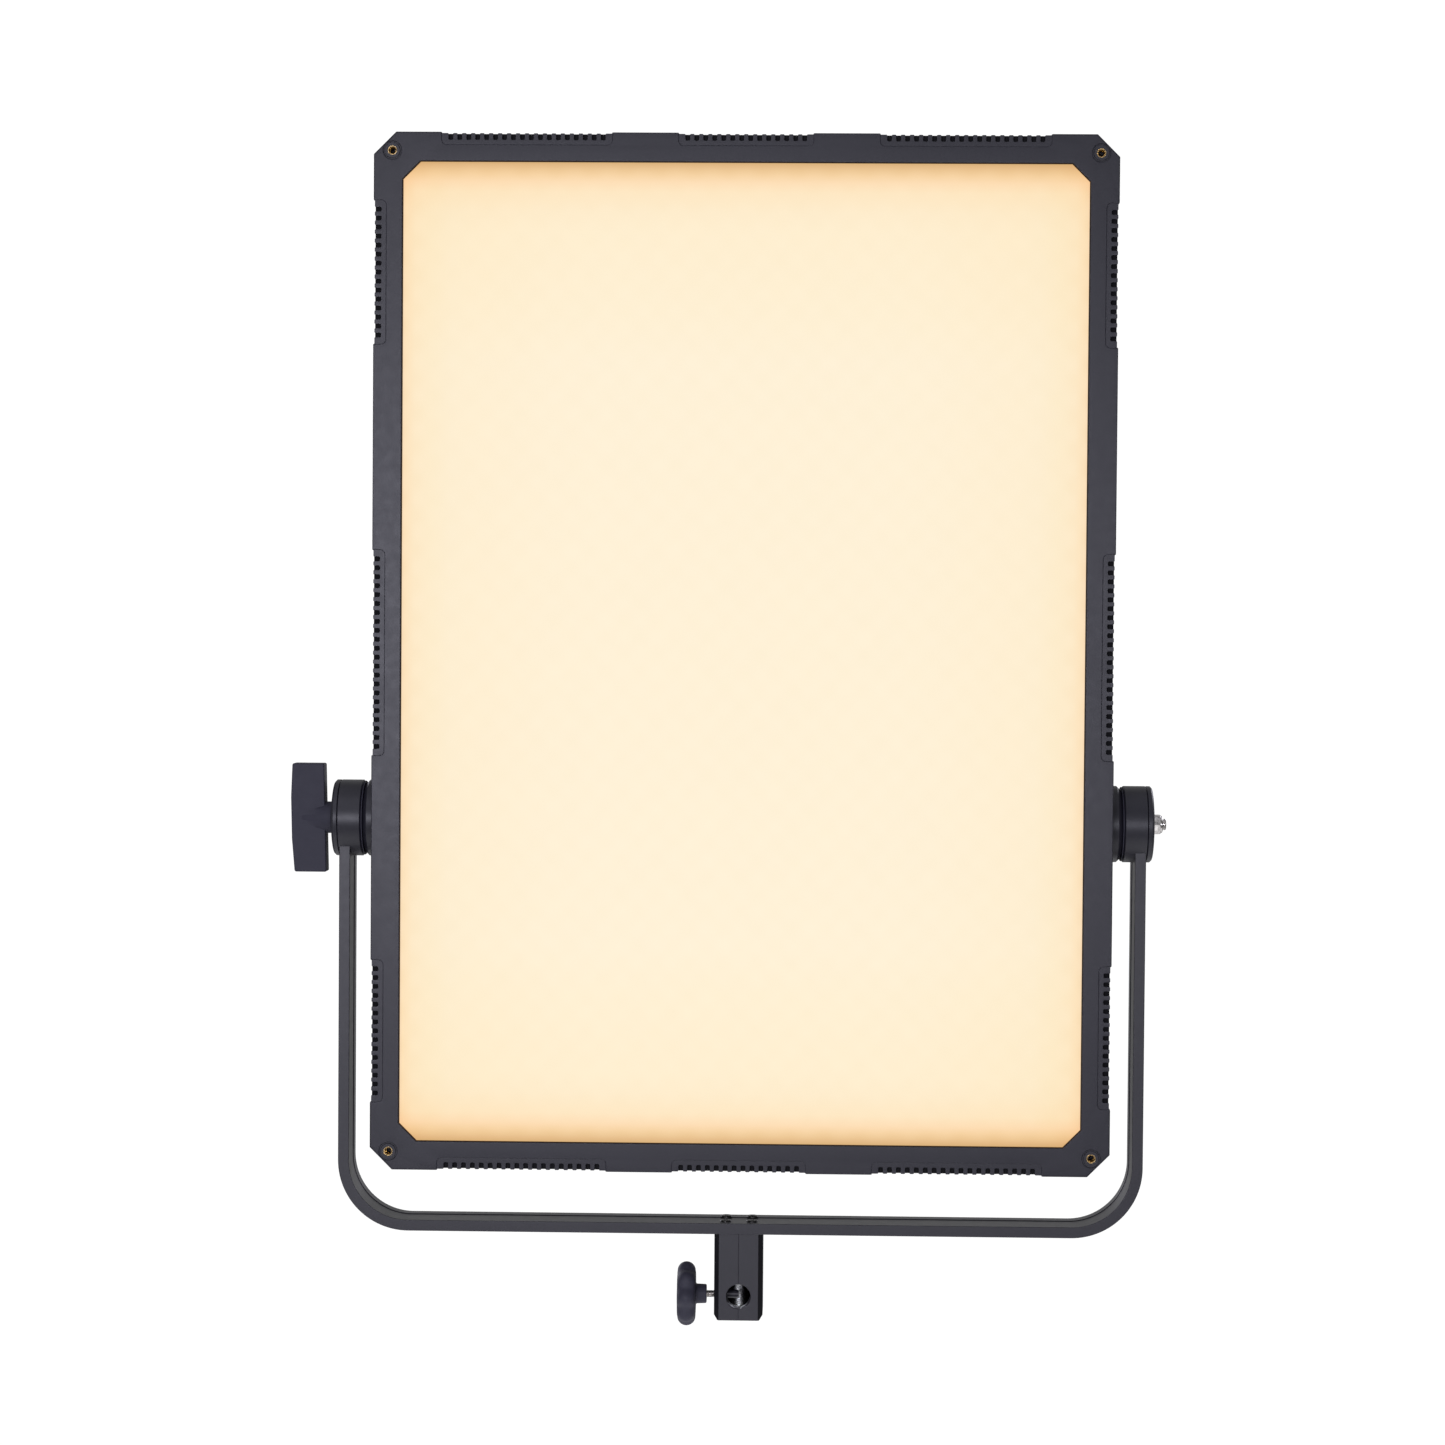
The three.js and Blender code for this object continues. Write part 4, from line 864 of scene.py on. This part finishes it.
class LAMP_OT_electronics(bpy.types.Operator):
    """Electronics housing on the back, with its control plate"""

    bl_idname = "lamp.electronics"
    bl_label = "Electronics housing"

    def execute(self, context):
        refined("electronics_housing", "electronics_shell", "panel_paint", "panel_paint", 0.9, 20, 3)
        low, high = span("control_fascia")
        z = (low[2] + high[2]) / 2
        pane_low, pane_high = span("display_window")
        holes = [oblong(pane_high[0] + 0.3, (pane_high[2] - pane_low[2]) / 2 + 0.3, 1.2, 0, z)]
        holes += [circle(3.4, middle(knob)[0], z) for knob in ("dimmer_knob", "colour_knob")]
        for i in range(1, 5):
            button_low, button_high = span("menu_button_%d" % i)
            x = (button_low[0] + button_high[0]) / 2
            holes.append(circle(button_high[0] - x + 0.3, x, z))
        outline = oblong(high[0], (high[2] - low[2]) / 2, 6, 0, z)
        piece("control_plate", drawn(add_plate, outline, holes, "y", round_over(low[1], high[1], 0.1, 0.5)),
              "lamp_head", "black_plastic", "plastic", "control_fascia")
        return {"FINISHED"}


class LAMP_OT_controls(bpy.types.Operator):
    """Display, dimmer and colour knobs with their scales, and the menu buttons"""

    bl_idname = "lamp.controls"
    bl_label = "Controls"

    def execute(self, context):
        self.display()
        for word in ("dimmer", "colour"):
            self.dial(word + "_dial", word + "_knob")
            encoder = word + "_encoder"
            refined(encoder, encoder + "_shaft", "plated_steel", "steel", 0.3)
        for i in range(1, 5):
            self.button(i)
        return {"FINISHED"}

    def display(self):
        low, high = span("display_window")
        z = (low[2] + high[2]) / 2
        outline = oblong(high[0], high[2] - z, 1.0, 0, z)
        piece("display_pane", drawn(add_plate, outline, [], "y", round_over(low[1], high[1], 0.2, 0.4)),
              "lamp_head", "display_glass", "glass", "display_window")
        bm = bmesh.new()
        for row, count in ((8.0, 9), (-8.0, 6)):
            for i in range(count):
                add_plate(bm, oblong(1.4, 3.0, 0.5, high[0] - 9 - i * 4.2, z + row, 3), [], "y",
                          round_over(high[1] - 0.1, high[1] + 0.06, 0.02, 0.02, 1))
        piece("display_bars", bm, "lamp_head", "display_glass", "lit_marks")

    def dial(self, name, node):
        low, high = span(node)
        x, _, z = middle(node)
        start, end = low[1], high[1]
        radius = (high[0] - low[0]) / 2
        ridges = 30
        steps = ridges * 6

        def ring(r, t, depth):
            points = []
            for i in range(steps):
                angle = 2 * math.pi * i / steps
                rr = r - depth * (0.5 + 0.5 * math.cos(ridges * angle))
                points.append((x + rr * math.cos(angle), t, z + rr * math.sin(angle)))
            return points

        levels = [(radius - 0.5, start, 0), (radius, start + 0.5, 0), (radius, start + 2.0, 0),
                  (radius - 0.3, start + 2.4, 0.6), (radius - 0.5, end - 1.8, 0.6),
                  (radius - 0.9, end - 1.2, 0.2), (radius - 1.6, end - 0.35, 0), (radius - 2.6, end, 0),
                  (radius - 4.0, end, 0), (radius - 4.6, end - 0.35, 0), (0.4, end - 0.35, 0)]
        piece(name, drawn(add_loft, [ring(*level) for level in levels]),
              node, "black_plastic", "plastic", node, angle=40)
        piece(name + "_pointer", drawn(add_plate, oblong(0.55, 2.6, 0.4, x, z + radius - 4.0, 3), [], "y",
                                       round_over(end - 0.5, end + 0.08, 0.05, 0.05, 1)),
              node, "white_plastic", "marks")
        face = span("control_fascia")[1][1]
        bm = bmesh.new()
        for i in range(11):
            angle = math.radians(225 - i * 27)
            cx, cz = x + SCALE_RADIUS * math.cos(angle), z + SCALE_RADIUS * math.sin(angle)
            long = 1.6 if i % 5 == 0 else 0.9
            turn = Matrix.Rotation(angle, 2)
            bar = [turn @ Vector(p) for p in ((long, -0.25), (long, 0.25), (-long, 0.25), (-long, -0.25))]
            add_plate(bm, [(p.x + cx, p.y + cz) for p in bar], [], "y",
                      round_over(face - 0.1, face + 0.06, 0.02, 0.02, 1))
        piece(name + "_scale", bm, "lamp_head", "white_plastic", "marks")

    def button(self, number):
        node = "menu_button_%d" % number
        low, high = span(node)
        x, _, z = middle(node)
        radius, top = (high[0] - low[0]) / 2, high[1]
        face = span("control_fascia")[0][1] + 1.3
        profile = [(0, low[1]), (1.6, low[1]), (1.6, face), (radius, face), (radius, top - 0.9),
                   (radius - 0.25, top - 0.35), (radius - 0.8, top - 0.05), (radius - 1.5, top),
                   (radius - 2.3, top - 0.15), (0, top - 0.3)]
        piece("soft_button_%d" % number, drawn(add_turned, profile, "y", (x, 0, z), 48),
              node, "button_rubber", "rubber", node, angle=40)


class LAMP_OT_connectors(bpy.types.Operator):
    """Mains inlet, power switch, fuse and data sockets underneath the housing"""

    bl_idname = "lamp.connectors"
    bl_label = "Connectors"

    def execute(self, context):
        refined("mains_inlet", "inlet_socket", "black_plastic", "plastic", 0.4)
        refined("power_switch_frame", "switch_surround", "black_plastic", "plastic", 0.35)
        refined("power_rocker", "switch_rocker", "black_plastic", "plastic", 0.35, body="power_rocker")
        x, y, _ = middle("fuse_holder")
        top = span("fuse_holder")[1][2] - 14
        grip = [(0, top + 14), (6, top + 14), (6, top), (8, top), (8, top - 2.0), (7.5, top - 2.4),
                (6.6, top - 2.6), (6.6, top - 3.2, 12), (6.6, top - 7.0, 12), (5.9, top - 7.8),
                (1.2, top - 7.8), (0, top - 7.2)]
        piece("fuse_cap", drawn(add_turned, grip, "z", (x, y, 0), 72),
              "lamp_head", "black_plastic", "plastic", "fuse_holder")
        refined("dmx_in_socket", "data_socket_in", "plated_steel", "steel", 0.3)
        refined("dmx_out_socket", "data_socket_out", "plated_steel", "steel", 0.3)
        bm = bmesh.new()
        across = ((-12.2, 9.8), (12.2, -9.8))
        for node, places in (("mains_inlet", ((-21.0, 0), (21.0, 0))), ("dmx_in_socket", across),
                             ("dmx_out_socket", across)):
            x, y, _ = middle(node)
            base = span(node)[0][2]
            head = [(0, base + 0.6), (2.0, base + 0.6), (2.0, base), (1.7, base - 0.6), (1.1, base - 0.9),
                    (0.8, base - 0.9, 6), (0.8, base - 0.2, 6), (0, base - 0.2)]
            for dx, dy in places:
                add_turned(bm, head, "z", (x + dx, y + dy, 0), 36)
        piece("flange_screws", bm, "lamp_head", "black_steel", "dark_steel")
        return {"FINISHED"}


# ---------- tilt pivots ----------


def hub_piece(name, node, profile, body, slot, finish, closed=True):
    """A turned piece on one of the two hubs; distances are from the middle of the light outwards."""
    side = math.copysign(1, middle(node)[0])
    turned = [(item[0], side * item[1], *item[2:]) for item in profile]
    steps = bpy.context.scene.lamp_sizes.round_steps
    piece(name, drawn(add_turned, turned, "x", (0, 0, PIVOT_Z), steps, closed), body, slot, finish, node)


class LAMP_OT_hubs(bpy.types.Operator):
    """Pivot discs, friction rings, barrels and caps on both sides"""

    bl_idname = "lamp.hubs"
    bl_label = "Hubs"

    def execute(self, context):
        for word, bolt in (("left_", 5.0), ("right_", 4.0)):
            bore, rim = bolt + 0.3, HUB_R - 0.7
            node = word + "pivot_disc"
            start, end = outward(node)
            disc = [(bore, start), (HUB_R, start), (HUB_R, end - 2.6), (HUB_R - 2.6, end), (bore, end)]
            hub_piece(word + "disc", node, softened(disc, 0.3), "lamp_head", "black_plastic", "plastic")
            node = word + "friction_ring"
            start, end = outward(node)
            ring = [(bolt + 6, start), (rim - 0.2, start), (rim, start + 0.2), (rim, end - 0.2),
                    (rim - 0.2, end), (bolt + 6, end)]
            hub_piece(word + "friction_pad", node, ring, "yoke_frame", "friction_rubber", "grip")
            for part, first, last, soft, steps in (("barrel", 0.7, 0.3, 0.25, 2), ("cap", 0.3, 1.3, 0.5, 4)):
                node = word + "hub_" + part
                start, end = outward(node)
                outline = [(bore, start), (HUB_R - first, start), (HUB_R, start + first),
                           (HUB_R, end - last), (HUB_R - last, end), (bore, end)]
                hub_piece(word + part, node, softened(outline, soft, steps),
                          "yoke_frame", "black_plastic", "plastic")
        return {"FINISHED"}


class LAMP_OT_pivot_bolts(bpy.types.Operator):
    """Both pivot bolts, the lock nut and the washer"""

    bl_idname = "lamp.pivot_bolts"
    bl_label = "Pivot bolts and nut"

    def execute(self, context):
        start, end = outward("tilt_bolt")
        bolt = [(0, start), (9.2, start, 6), (9.2, start + 6, 6), (5, start + 6),
                (5, end - 0.6), (4.4, end), (0, end)]
        hub_piece("tilt_stud", "tilt_bolt", bolt, "lamp_head", "plated_steel", "steel", False)
        start, end = outward("pivot_bolt")
        bolt = [(0, start), (7.5, start, 6), (7.5, start + 5.5, 6), (4, start + 5.5)]
        turns, pitch = 6, 1.25
        for k in range(turns):
            t = end - 0.7 - (turns - k) * pitch
            bolt += [(4.0, t), (4.0, t + 0.15), (3.45, t + pitch / 2), (3.45, t + pitch / 2 + 0.1)]
        bolt += [(4.0, end - 0.7), (3.4, end), (0, end)]
        hub_piece("pivot_stud", "pivot_bolt", bolt, "lamp_head", "plated_steel", "steel", False)
        start, end = outward("pivot_lock_nut")
        body = end - start - 1.4
        nut = [(4.2, start)]
        for t, limit in ((0, 6.5), (0.35, 6.9), (0.8, 7.3), (1.3, 7.6), (body - 1.3, 7.6), (body - 0.8, 7.3),
                         (body - 0.35, 6.9), (body, 6.4)):
            nut.append((7.5, start + t, 6, limit))
        top = start + body
        nut += [(5.9, top), (5.9, top + 0.7), (5.5, top + 1.2), (4.9, end), (4.2, end)]
        hub_piece("lock_nut", "pivot_lock_nut", nut, "lamp_head", "plated_steel", "steel")
        start, end = outward("tilt_washer")
        washer = softened([(5.3, start), (11, start), (11, end), (5.3, end)], 0.3)
        hub_piece("thrust_washer", "tilt_washer", washer, "tilt_washer", "plated_steel", "steel")
        return {"FINISHED"}


class LAMP_OT_tilt_knob(bpy.types.Operator):
    """Wing knob that clamps the tilt"""

    bl_idname = "lamp.tilt_knob"
    bl_label = "Tilt knob"

    def execute(self, context):
        low, high = span("tilt_knob")
        neck, half = high[0], (high[2] - low[2]) / 2
        bow, slant = 1.4, 0.024
        outside = low[0] + slant * half / 3
        inside = outside + 23.3
        wing = fillet(
            [(inside, -half), (inside, half), (outside + bow, half),
             (outside, half / 2.6), (outside, -half / 2.6), (outside + bow, -half)],
            [1.2, 1.2, 1.4, 30, 30, 1.4],
            6,
        )
        wing = [(x - slant * z, z + PIVOT_Z) for x, z in wing]
        made = mesh_object("wing_knob", drawn(add_plate, wing, [], "y", round_over(-7, 7, 1.0, 1.0, 4)))
        hub = [(0, neck), (10.3, neck), (10.8, neck - 0.5), (10.8, inside - 1), (7.2, inside - 16),
               (6.4, inside - 17), (0, inside - 17)]
        carve(made, drawn(add_turned, hub, "x", (0, 0, PIVOT_Z)), "UNION")
        finish_piece(made, "tilt_knob", "black_plastic", "grip", "tilt_knob", angle=40)
        return {"FINISHED"}


# ---------- yoke and stand socket ----------


class LAMP_OT_yoke(bpy.types.Operator):
    """Bent flat bar with a shallow channel along its inside"""

    bl_idname = "lamp.yoke"
    bl_label = "Yoke"

    def execute(self, context):
        low, high = span("yoke")
        half, width, bottom = high[0], high[1], low[2] - 0.35
        thick, bend = 7.4, 48.0
        floor = thick - context.scene.lamp_sizes.channel_depth / MM
        section = fillet(
            [(-width, 0), (width, 0), (width, thick), (8, thick), (7.6, floor), (-7.6, floor),
             (-8, thick), (-width, thick)],
            [0.45, 0.45, 0.4, 0.3, 0.3, 0.3, 0.3, 0.4],
            4,
        )

        def station(x, z, nx, nz, share=1.0):
            return [(x + nx * d, w * share, z + nz * d) for w, d in section]

        angles = [math.radians(7 * k) for k in range(12, 0, -1)]
        arm = [(PIVOT_Z + width * math.sin(a), math.cos(a)) for a in angles]
        arm += [(PIVOT_Z, 1.0), (PIVOT_Z - 60, 1.0), (PIVOT_Z - 140, 1.0)]
        sections = [station(-half, z, 1, 0, share) for z, share in arm]
        turns = 28
        for cx, first in ((bend - half, math.pi), (half - bend, 1.5 * math.pi)):
            for k in range(turns + 1):
                a = first + math.pi / 2 * k / turns
                x, z = cx + bend * math.cos(a), bottom + bend + bend * math.sin(a)
                sections.append(station(x, z, -math.cos(a), -math.sin(a)))
        sections += [station(half, z, -1, 0, share) for z, share in reversed(arm)]
        piece("bent_bar", drawn(add_loft, sections),
              "yoke_frame", "yoke_paint", "yoke_paint", "yoke", angle=28)
        return {"FINISHED"}


class LAMP_OT_bar_screws(bpy.types.Operator):
    """Four socket screws that hold the block to the bar"""

    bl_idname = "lamp.bar_screws"
    bl_label = "Bar screws"

    def execute(self, context):
        for i in range(1, 5):
            node = "bar_screw_%d" % i
            low, high = span(node)
            x, y, _ = middle(node)
            base, seat, top = low[2], high[2] - 1.6, high[2] - 0.4
            head = softened([(4.1, seat), (4.1, top - 0.6), (3.5, top), (1.9, top)], 0.3, 3)
            profile = [(0, base), (2.2, base), (2.2, seat), *head, (1.8, top, 6),
                       (1.8, top - 1.7, 6), (0, top - 2.0)]
            piece("bar_fixing_%d" % i, drawn(add_turned, profile, "z", (x, y, 0), 48),
                  "yoke_frame", "black_steel", "dark_steel", node)
        return {"FINISHED"}


class LAMP_OT_socket(bpy.types.Operator):
    """Stand socket block with its upright bore and the cross hole"""

    bl_idname = "lamp.socket"
    bl_label = "Socket block"

    def execute(self, context):
        half_w, half_d, top = span("socket_block")[1]
        score = [(-0.22, -half_d), (0, -half_d + 0.22), (0.22, -half_d)]
        outline = octagon(half_w, half_d, 3.2) + score
        body = drawn(add_plate, outline, [], "z", round_over(0, top, 0.3, 0.3, 2))
        made = mesh_object("socket_body", body)
        for name in ("yoke_paint", "bore", "darker_paint_and_painted_shade"):
            made.data.materials.append(finish_of(name))
        bm = bmesh.new()
        for side in (-1, 1):
            wedge = [(side * (half_w + 1), -1), (side * (half_w - 2.4), -1), (side * (half_w - 2.4), -0.001),
                     (side * half_w, 3.6), (side * (half_w + 1), 3.6)]
            if side > 0:
                wedge.reverse()
            add_plate(bm, wedge, [], "y", [(-half_d - 1, 0), (half_d + 1, 0)])
        carve(made, bm)
        bore = [(0, -1), (9.7, -1), (BORE_RADIUS, 1.2), (BORE_RADIUS, 44), (BORE_RADIUS - 3, 46), (0, 46)]
        carve(made, drawn(add_turned, bore, "z", (0, 0, 0)), finish=1)
        cross = [(0, -half_d - 1), (8.9, -half_d - 1), (BORE_RADIUS, -half_d + 0.5), (BORE_RADIUS, 0),
                 (0, 0)]
        carve(made, drawn(add_turned, cross, "y", (0, 0, CROSS_Z)))
        screw = [(0, -half_w - 1), (2.8, -half_w - 1), (2.8, 0), (0, 0)]
        carve(made, drawn(add_turned, screw, "x", (0, 0, LOCK_Z), 48))
        # the block's corner chamfers take the darker copy of the yoke paint
        for face in made.data.polygons:
            if min(abs(face.normal.x), abs(face.normal.y)) > 0.6 and abs(face.center.x) > 10 * MM:
                face.material_index = 2
        finish_piece(made, "yoke_frame", "yoke_paint", "yoke_paint", "socket_block", 0.25, 30)
        return {"FINISHED"}


class LAMP_OT_stand_lock(bpy.types.Operator):
    """Star knob, its threaded shank and the pressure pad"""

    bl_idname = "lamp.stand_lock"
    bl_label = "Stand lock"

    def execute(self, context):
        self.star(context.scene.lamp_sizes.star_lobes)
        start, end = (corner[0] for corner in span("stand_lock_screw"))
        pitch = 0.8
        turns = int((end - start - 1) / pitch)
        shank = [(0, start), (2.1, start), *thread(start + 0.5, pitch, turns, 2.1, 2.5), (2.1, end),
                 (0, end)]
        piece("lock_shank", drawn(add_turned, shank, "x", (0, 0, LOCK_Z), 40),
              "stand_lock_knob", "plated_steel", "steel", "stand_lock_screw", angle=50)
        start, end = (corner[0] for corner in span("stand_lock_pad"))
        pad = softened([(0, start), (2.3, start), (2.3, end - 0.5), (1.7, end), (0, end)], 0.3)
        piece("bronze_tip", drawn(add_turned, pad, "x", (0, 0, LOCK_Z), 40),
              "stand_lock_pad", "brass_insert", "copper", "stand_lock_pad")
        return {"FINISHED"}

    def star(self, lobes):
        low, high = span("stand_lock_knob")
        outer, hub_end = low[0], high[0]
        inner = hub_end - 7.6
        rim = (inner - outer) / 2
        radius = (high[2] - low[2]) / 2 - rim
        steps = 24 * lobes

        def ring(base, t, share=0.0):
            points = []
            for i in range(steps):
                angle = 2 * math.pi * i / steps
                r = base - 2.6 * share * abs(math.sin(lobes * angle / 2)) ** 2.5
                points.append((t, r * math.cos(angle), LOCK_Z + r * math.sin(angle)))
            return points

        sections = [ring(1.0, outer + 0.9), ring(7.2, outer + 0.9), ring(7.8, outer)]
        for k in range(13):
            a = math.pi * k / 12
            share = 0.35 + 0.65 * math.sin(a)
            sections.append(ring(radius + rim * math.sin(a), (inner + outer) / 2 - rim * math.cos(a), share))
        sections += [ring(9.4, inner - 0.1), ring(7.6, inner + 0.2), ring(6.75, inner + 0.9),
                     ring(6.5, hub_end - 0.7), ring(6.0, hub_end), ring(2.9, hub_end)]
        piece("star_knob", drawn(add_loft, sections),
              "stand_lock_knob", "black_plastic", "grip", "stand_lock_knob", angle=50)


# ---------- stage ----------


class LAMP_OT_stage(bpy.types.Operator):
    """Pale floor, soft lights, even surroundings and the camera"""

    bl_idname = "lamp.stage"
    bl_label = "Stage"

    def execute(self, context):
        stage = context.scene.lamp_stage
        self.floor(stage)
        self.surroundings(context.scene, stage)
        self.lights(context.scene, stage.key)
        self.camera(context.scene, stage.lens)
        context.scene.view_settings.view_transform = "Standard"
        return {"FINISHED"}

    def floor(self, stage):
        height = stage.floor_height / MM
        rim = circle(stage.floor_radius / MM, 0, 0, 160)
        slab = drawn(add_plate, rim, [], "z", round_over(height - 20, height, 5, 5, 2))
        made = mesh_object("pale_floor", slab)
        dull = {"Roughness": 0.9, "Specular IOR Level": 0.1}
        made.data.materials.append(flecked("pale_floor", 1.5, 3.0, (0.95,) * 3, (0.97,) * 3, dull, 0.45))

    def surroundings(self, scene, stage):
        """The room's light, stronger from behind; the room itself looks white"""
        scene.world = bpy.data.worlds.new("pale_room")
        scene.world.use_nodes = True
        tree = scene.world.node_tree
        parts = add_node(tree, "SeparateXYZ", {"Vector": add_node(tree, "TexCoord").outputs["Generated"]})
        strength = between(tree, parts.outputs["Y"], stage.sky, stage.backdrop, 0.3, 1.0)
        back = tree.nodes["Background"]
        wire(tree, back, {"Color": (1, 1, 1, 1), "Strength": strength})
        seen = add_node(tree, "Background", {"Color": (1, 1, 1, 1), "Strength": WHITE_ROOM})
        path = add_node(tree, "LightPath")
        mix = add_node(tree, "MixShader", {
            0: path.outputs["Is Camera Ray"],
            1: back.outputs["Background"],
            2: seen.outputs["Background"],
        })
        wire(tree, tree.nodes["World Output"], {"Surface": mix.outputs["Shader"]})

    def lights(self, scene, key):
        for name, where, wide, tall, share in (
            ("key_light", (-0.62, -3.1, 0.46), 0.8, 0.3, 1.0),
            ("fill_light", (0.6, -3.1, 0.42), 0.5, 0.3, 0.36),
            ("high_light", (-1.0, -2.2, 2.6), 1.8, 1.8, 0.42),
            ("top_light", (0.0, -0.4, 2.6), 2.0, 2.0, 0.2),
            ("back_left_light", (-2.2, 2.2, 1.0), 1.2, 1.2, 1.1),
            ("back_right_light", (2.2, 2.2, 1.0), 1.2, 1.2, 0.8),
        ):
            lamp = bpy.data.lights.new(name, "AREA")
            lamp.shape = "RECTANGLE"
            lamp.size, lamp.size_y = wide, tall
            lamp.energy = key * share
            lamp.color = COOL_WHITE
            made = bpy.data.objects.new(name, lamp)
            made.location = where
            aim = Vector(AIM) - made.location
            made.rotation_euler = aim.to_track_quat("-Z", "Y").to_euler()
            scene.collection.objects.link(made)

    def camera(self, scene, focal_length):
        lens = bpy.data.cameras.new("camera")
        lens.sensor_width = 36.0
        lens.lens = focal_length
        lens.clip_end = 100.0
        made = bpy.data.objects.new("camera", lens)
        yaw, pitch, roll = (math.radians(v) for v in CAMERA_TURN)
        turn = Euler((math.pi / 2 - pitch, 0, yaw)).to_matrix() @ Matrix.Rotation(roll, 3, "Z")
        made.matrix_world = Matrix.Translation(CAMERA_PLACE) @ turn.to_4x4()
        scene.collection.objects.link(made)
        scene.camera = made


# ---------- sidebar and registration ----------

STEPS = (
    LAMP_OT_bezel,
    LAMP_OT_inserts,
    LAMP_OT_sheet,
    LAMP_OT_housing,
    LAMP_OT_light_engine,
    LAMP_OT_electronics,
    LAMP_OT_controls,
    LAMP_OT_connectors,
    LAMP_OT_hubs,
    LAMP_OT_pivot_bolts,
    LAMP_OT_tilt_knob,
    LAMP_OT_yoke,
    LAMP_OT_bar_screws,
    LAMP_OT_socket,
    LAMP_OT_stand_lock,
    LAMP_OT_stage,
)

GROUPS = {
    "lamp_sizes": LampSizes,
    "lamp_colours": LampColours,
    "lamp_glow": LampGlow,
    "lamp_stage": LampStage,
}


class LAMP_PT_sidebar(bpy.types.Panel):
    """Lists the steps that build the light"""

    bl_label = "Panel light"
    bl_idname = "LAMP_PT_sidebar"
    bl_space_type = "VIEW_3D"
    bl_region_type = "UI"
    bl_category = "Panel light"

    def draw(self, context):
        for group in GROUPS:
            settings = getattr(context.scene, group)
            box = self.layout.box()
            for name in settings.__annotations__:
                box.prop(settings, name)
        for step in STEPS:
            self.layout.operator(step.bl_idname)


CLASSES = (*GROUPS.values(), *STEPS, LAMP_PT_sidebar)


def register():
    for item in CLASSES:
        bpy.utils.register_class(item)
    for name, group in GROUPS.items():
        setattr(bpy.types.Scene, name, PointerProperty(type=group))


def unregister():
    for name in GROUPS:
        delattr(bpy.types.Scene, name)
    for item in reversed(CLASSES):
        bpy.utils.unregister_class(item)


def main():
    register()
    for step in STEPS:
        family, name = step.bl_idname.split(".")
        getattr(getattr(bpy.ops, family), name)()


if __name__ == "__main__":
    main()
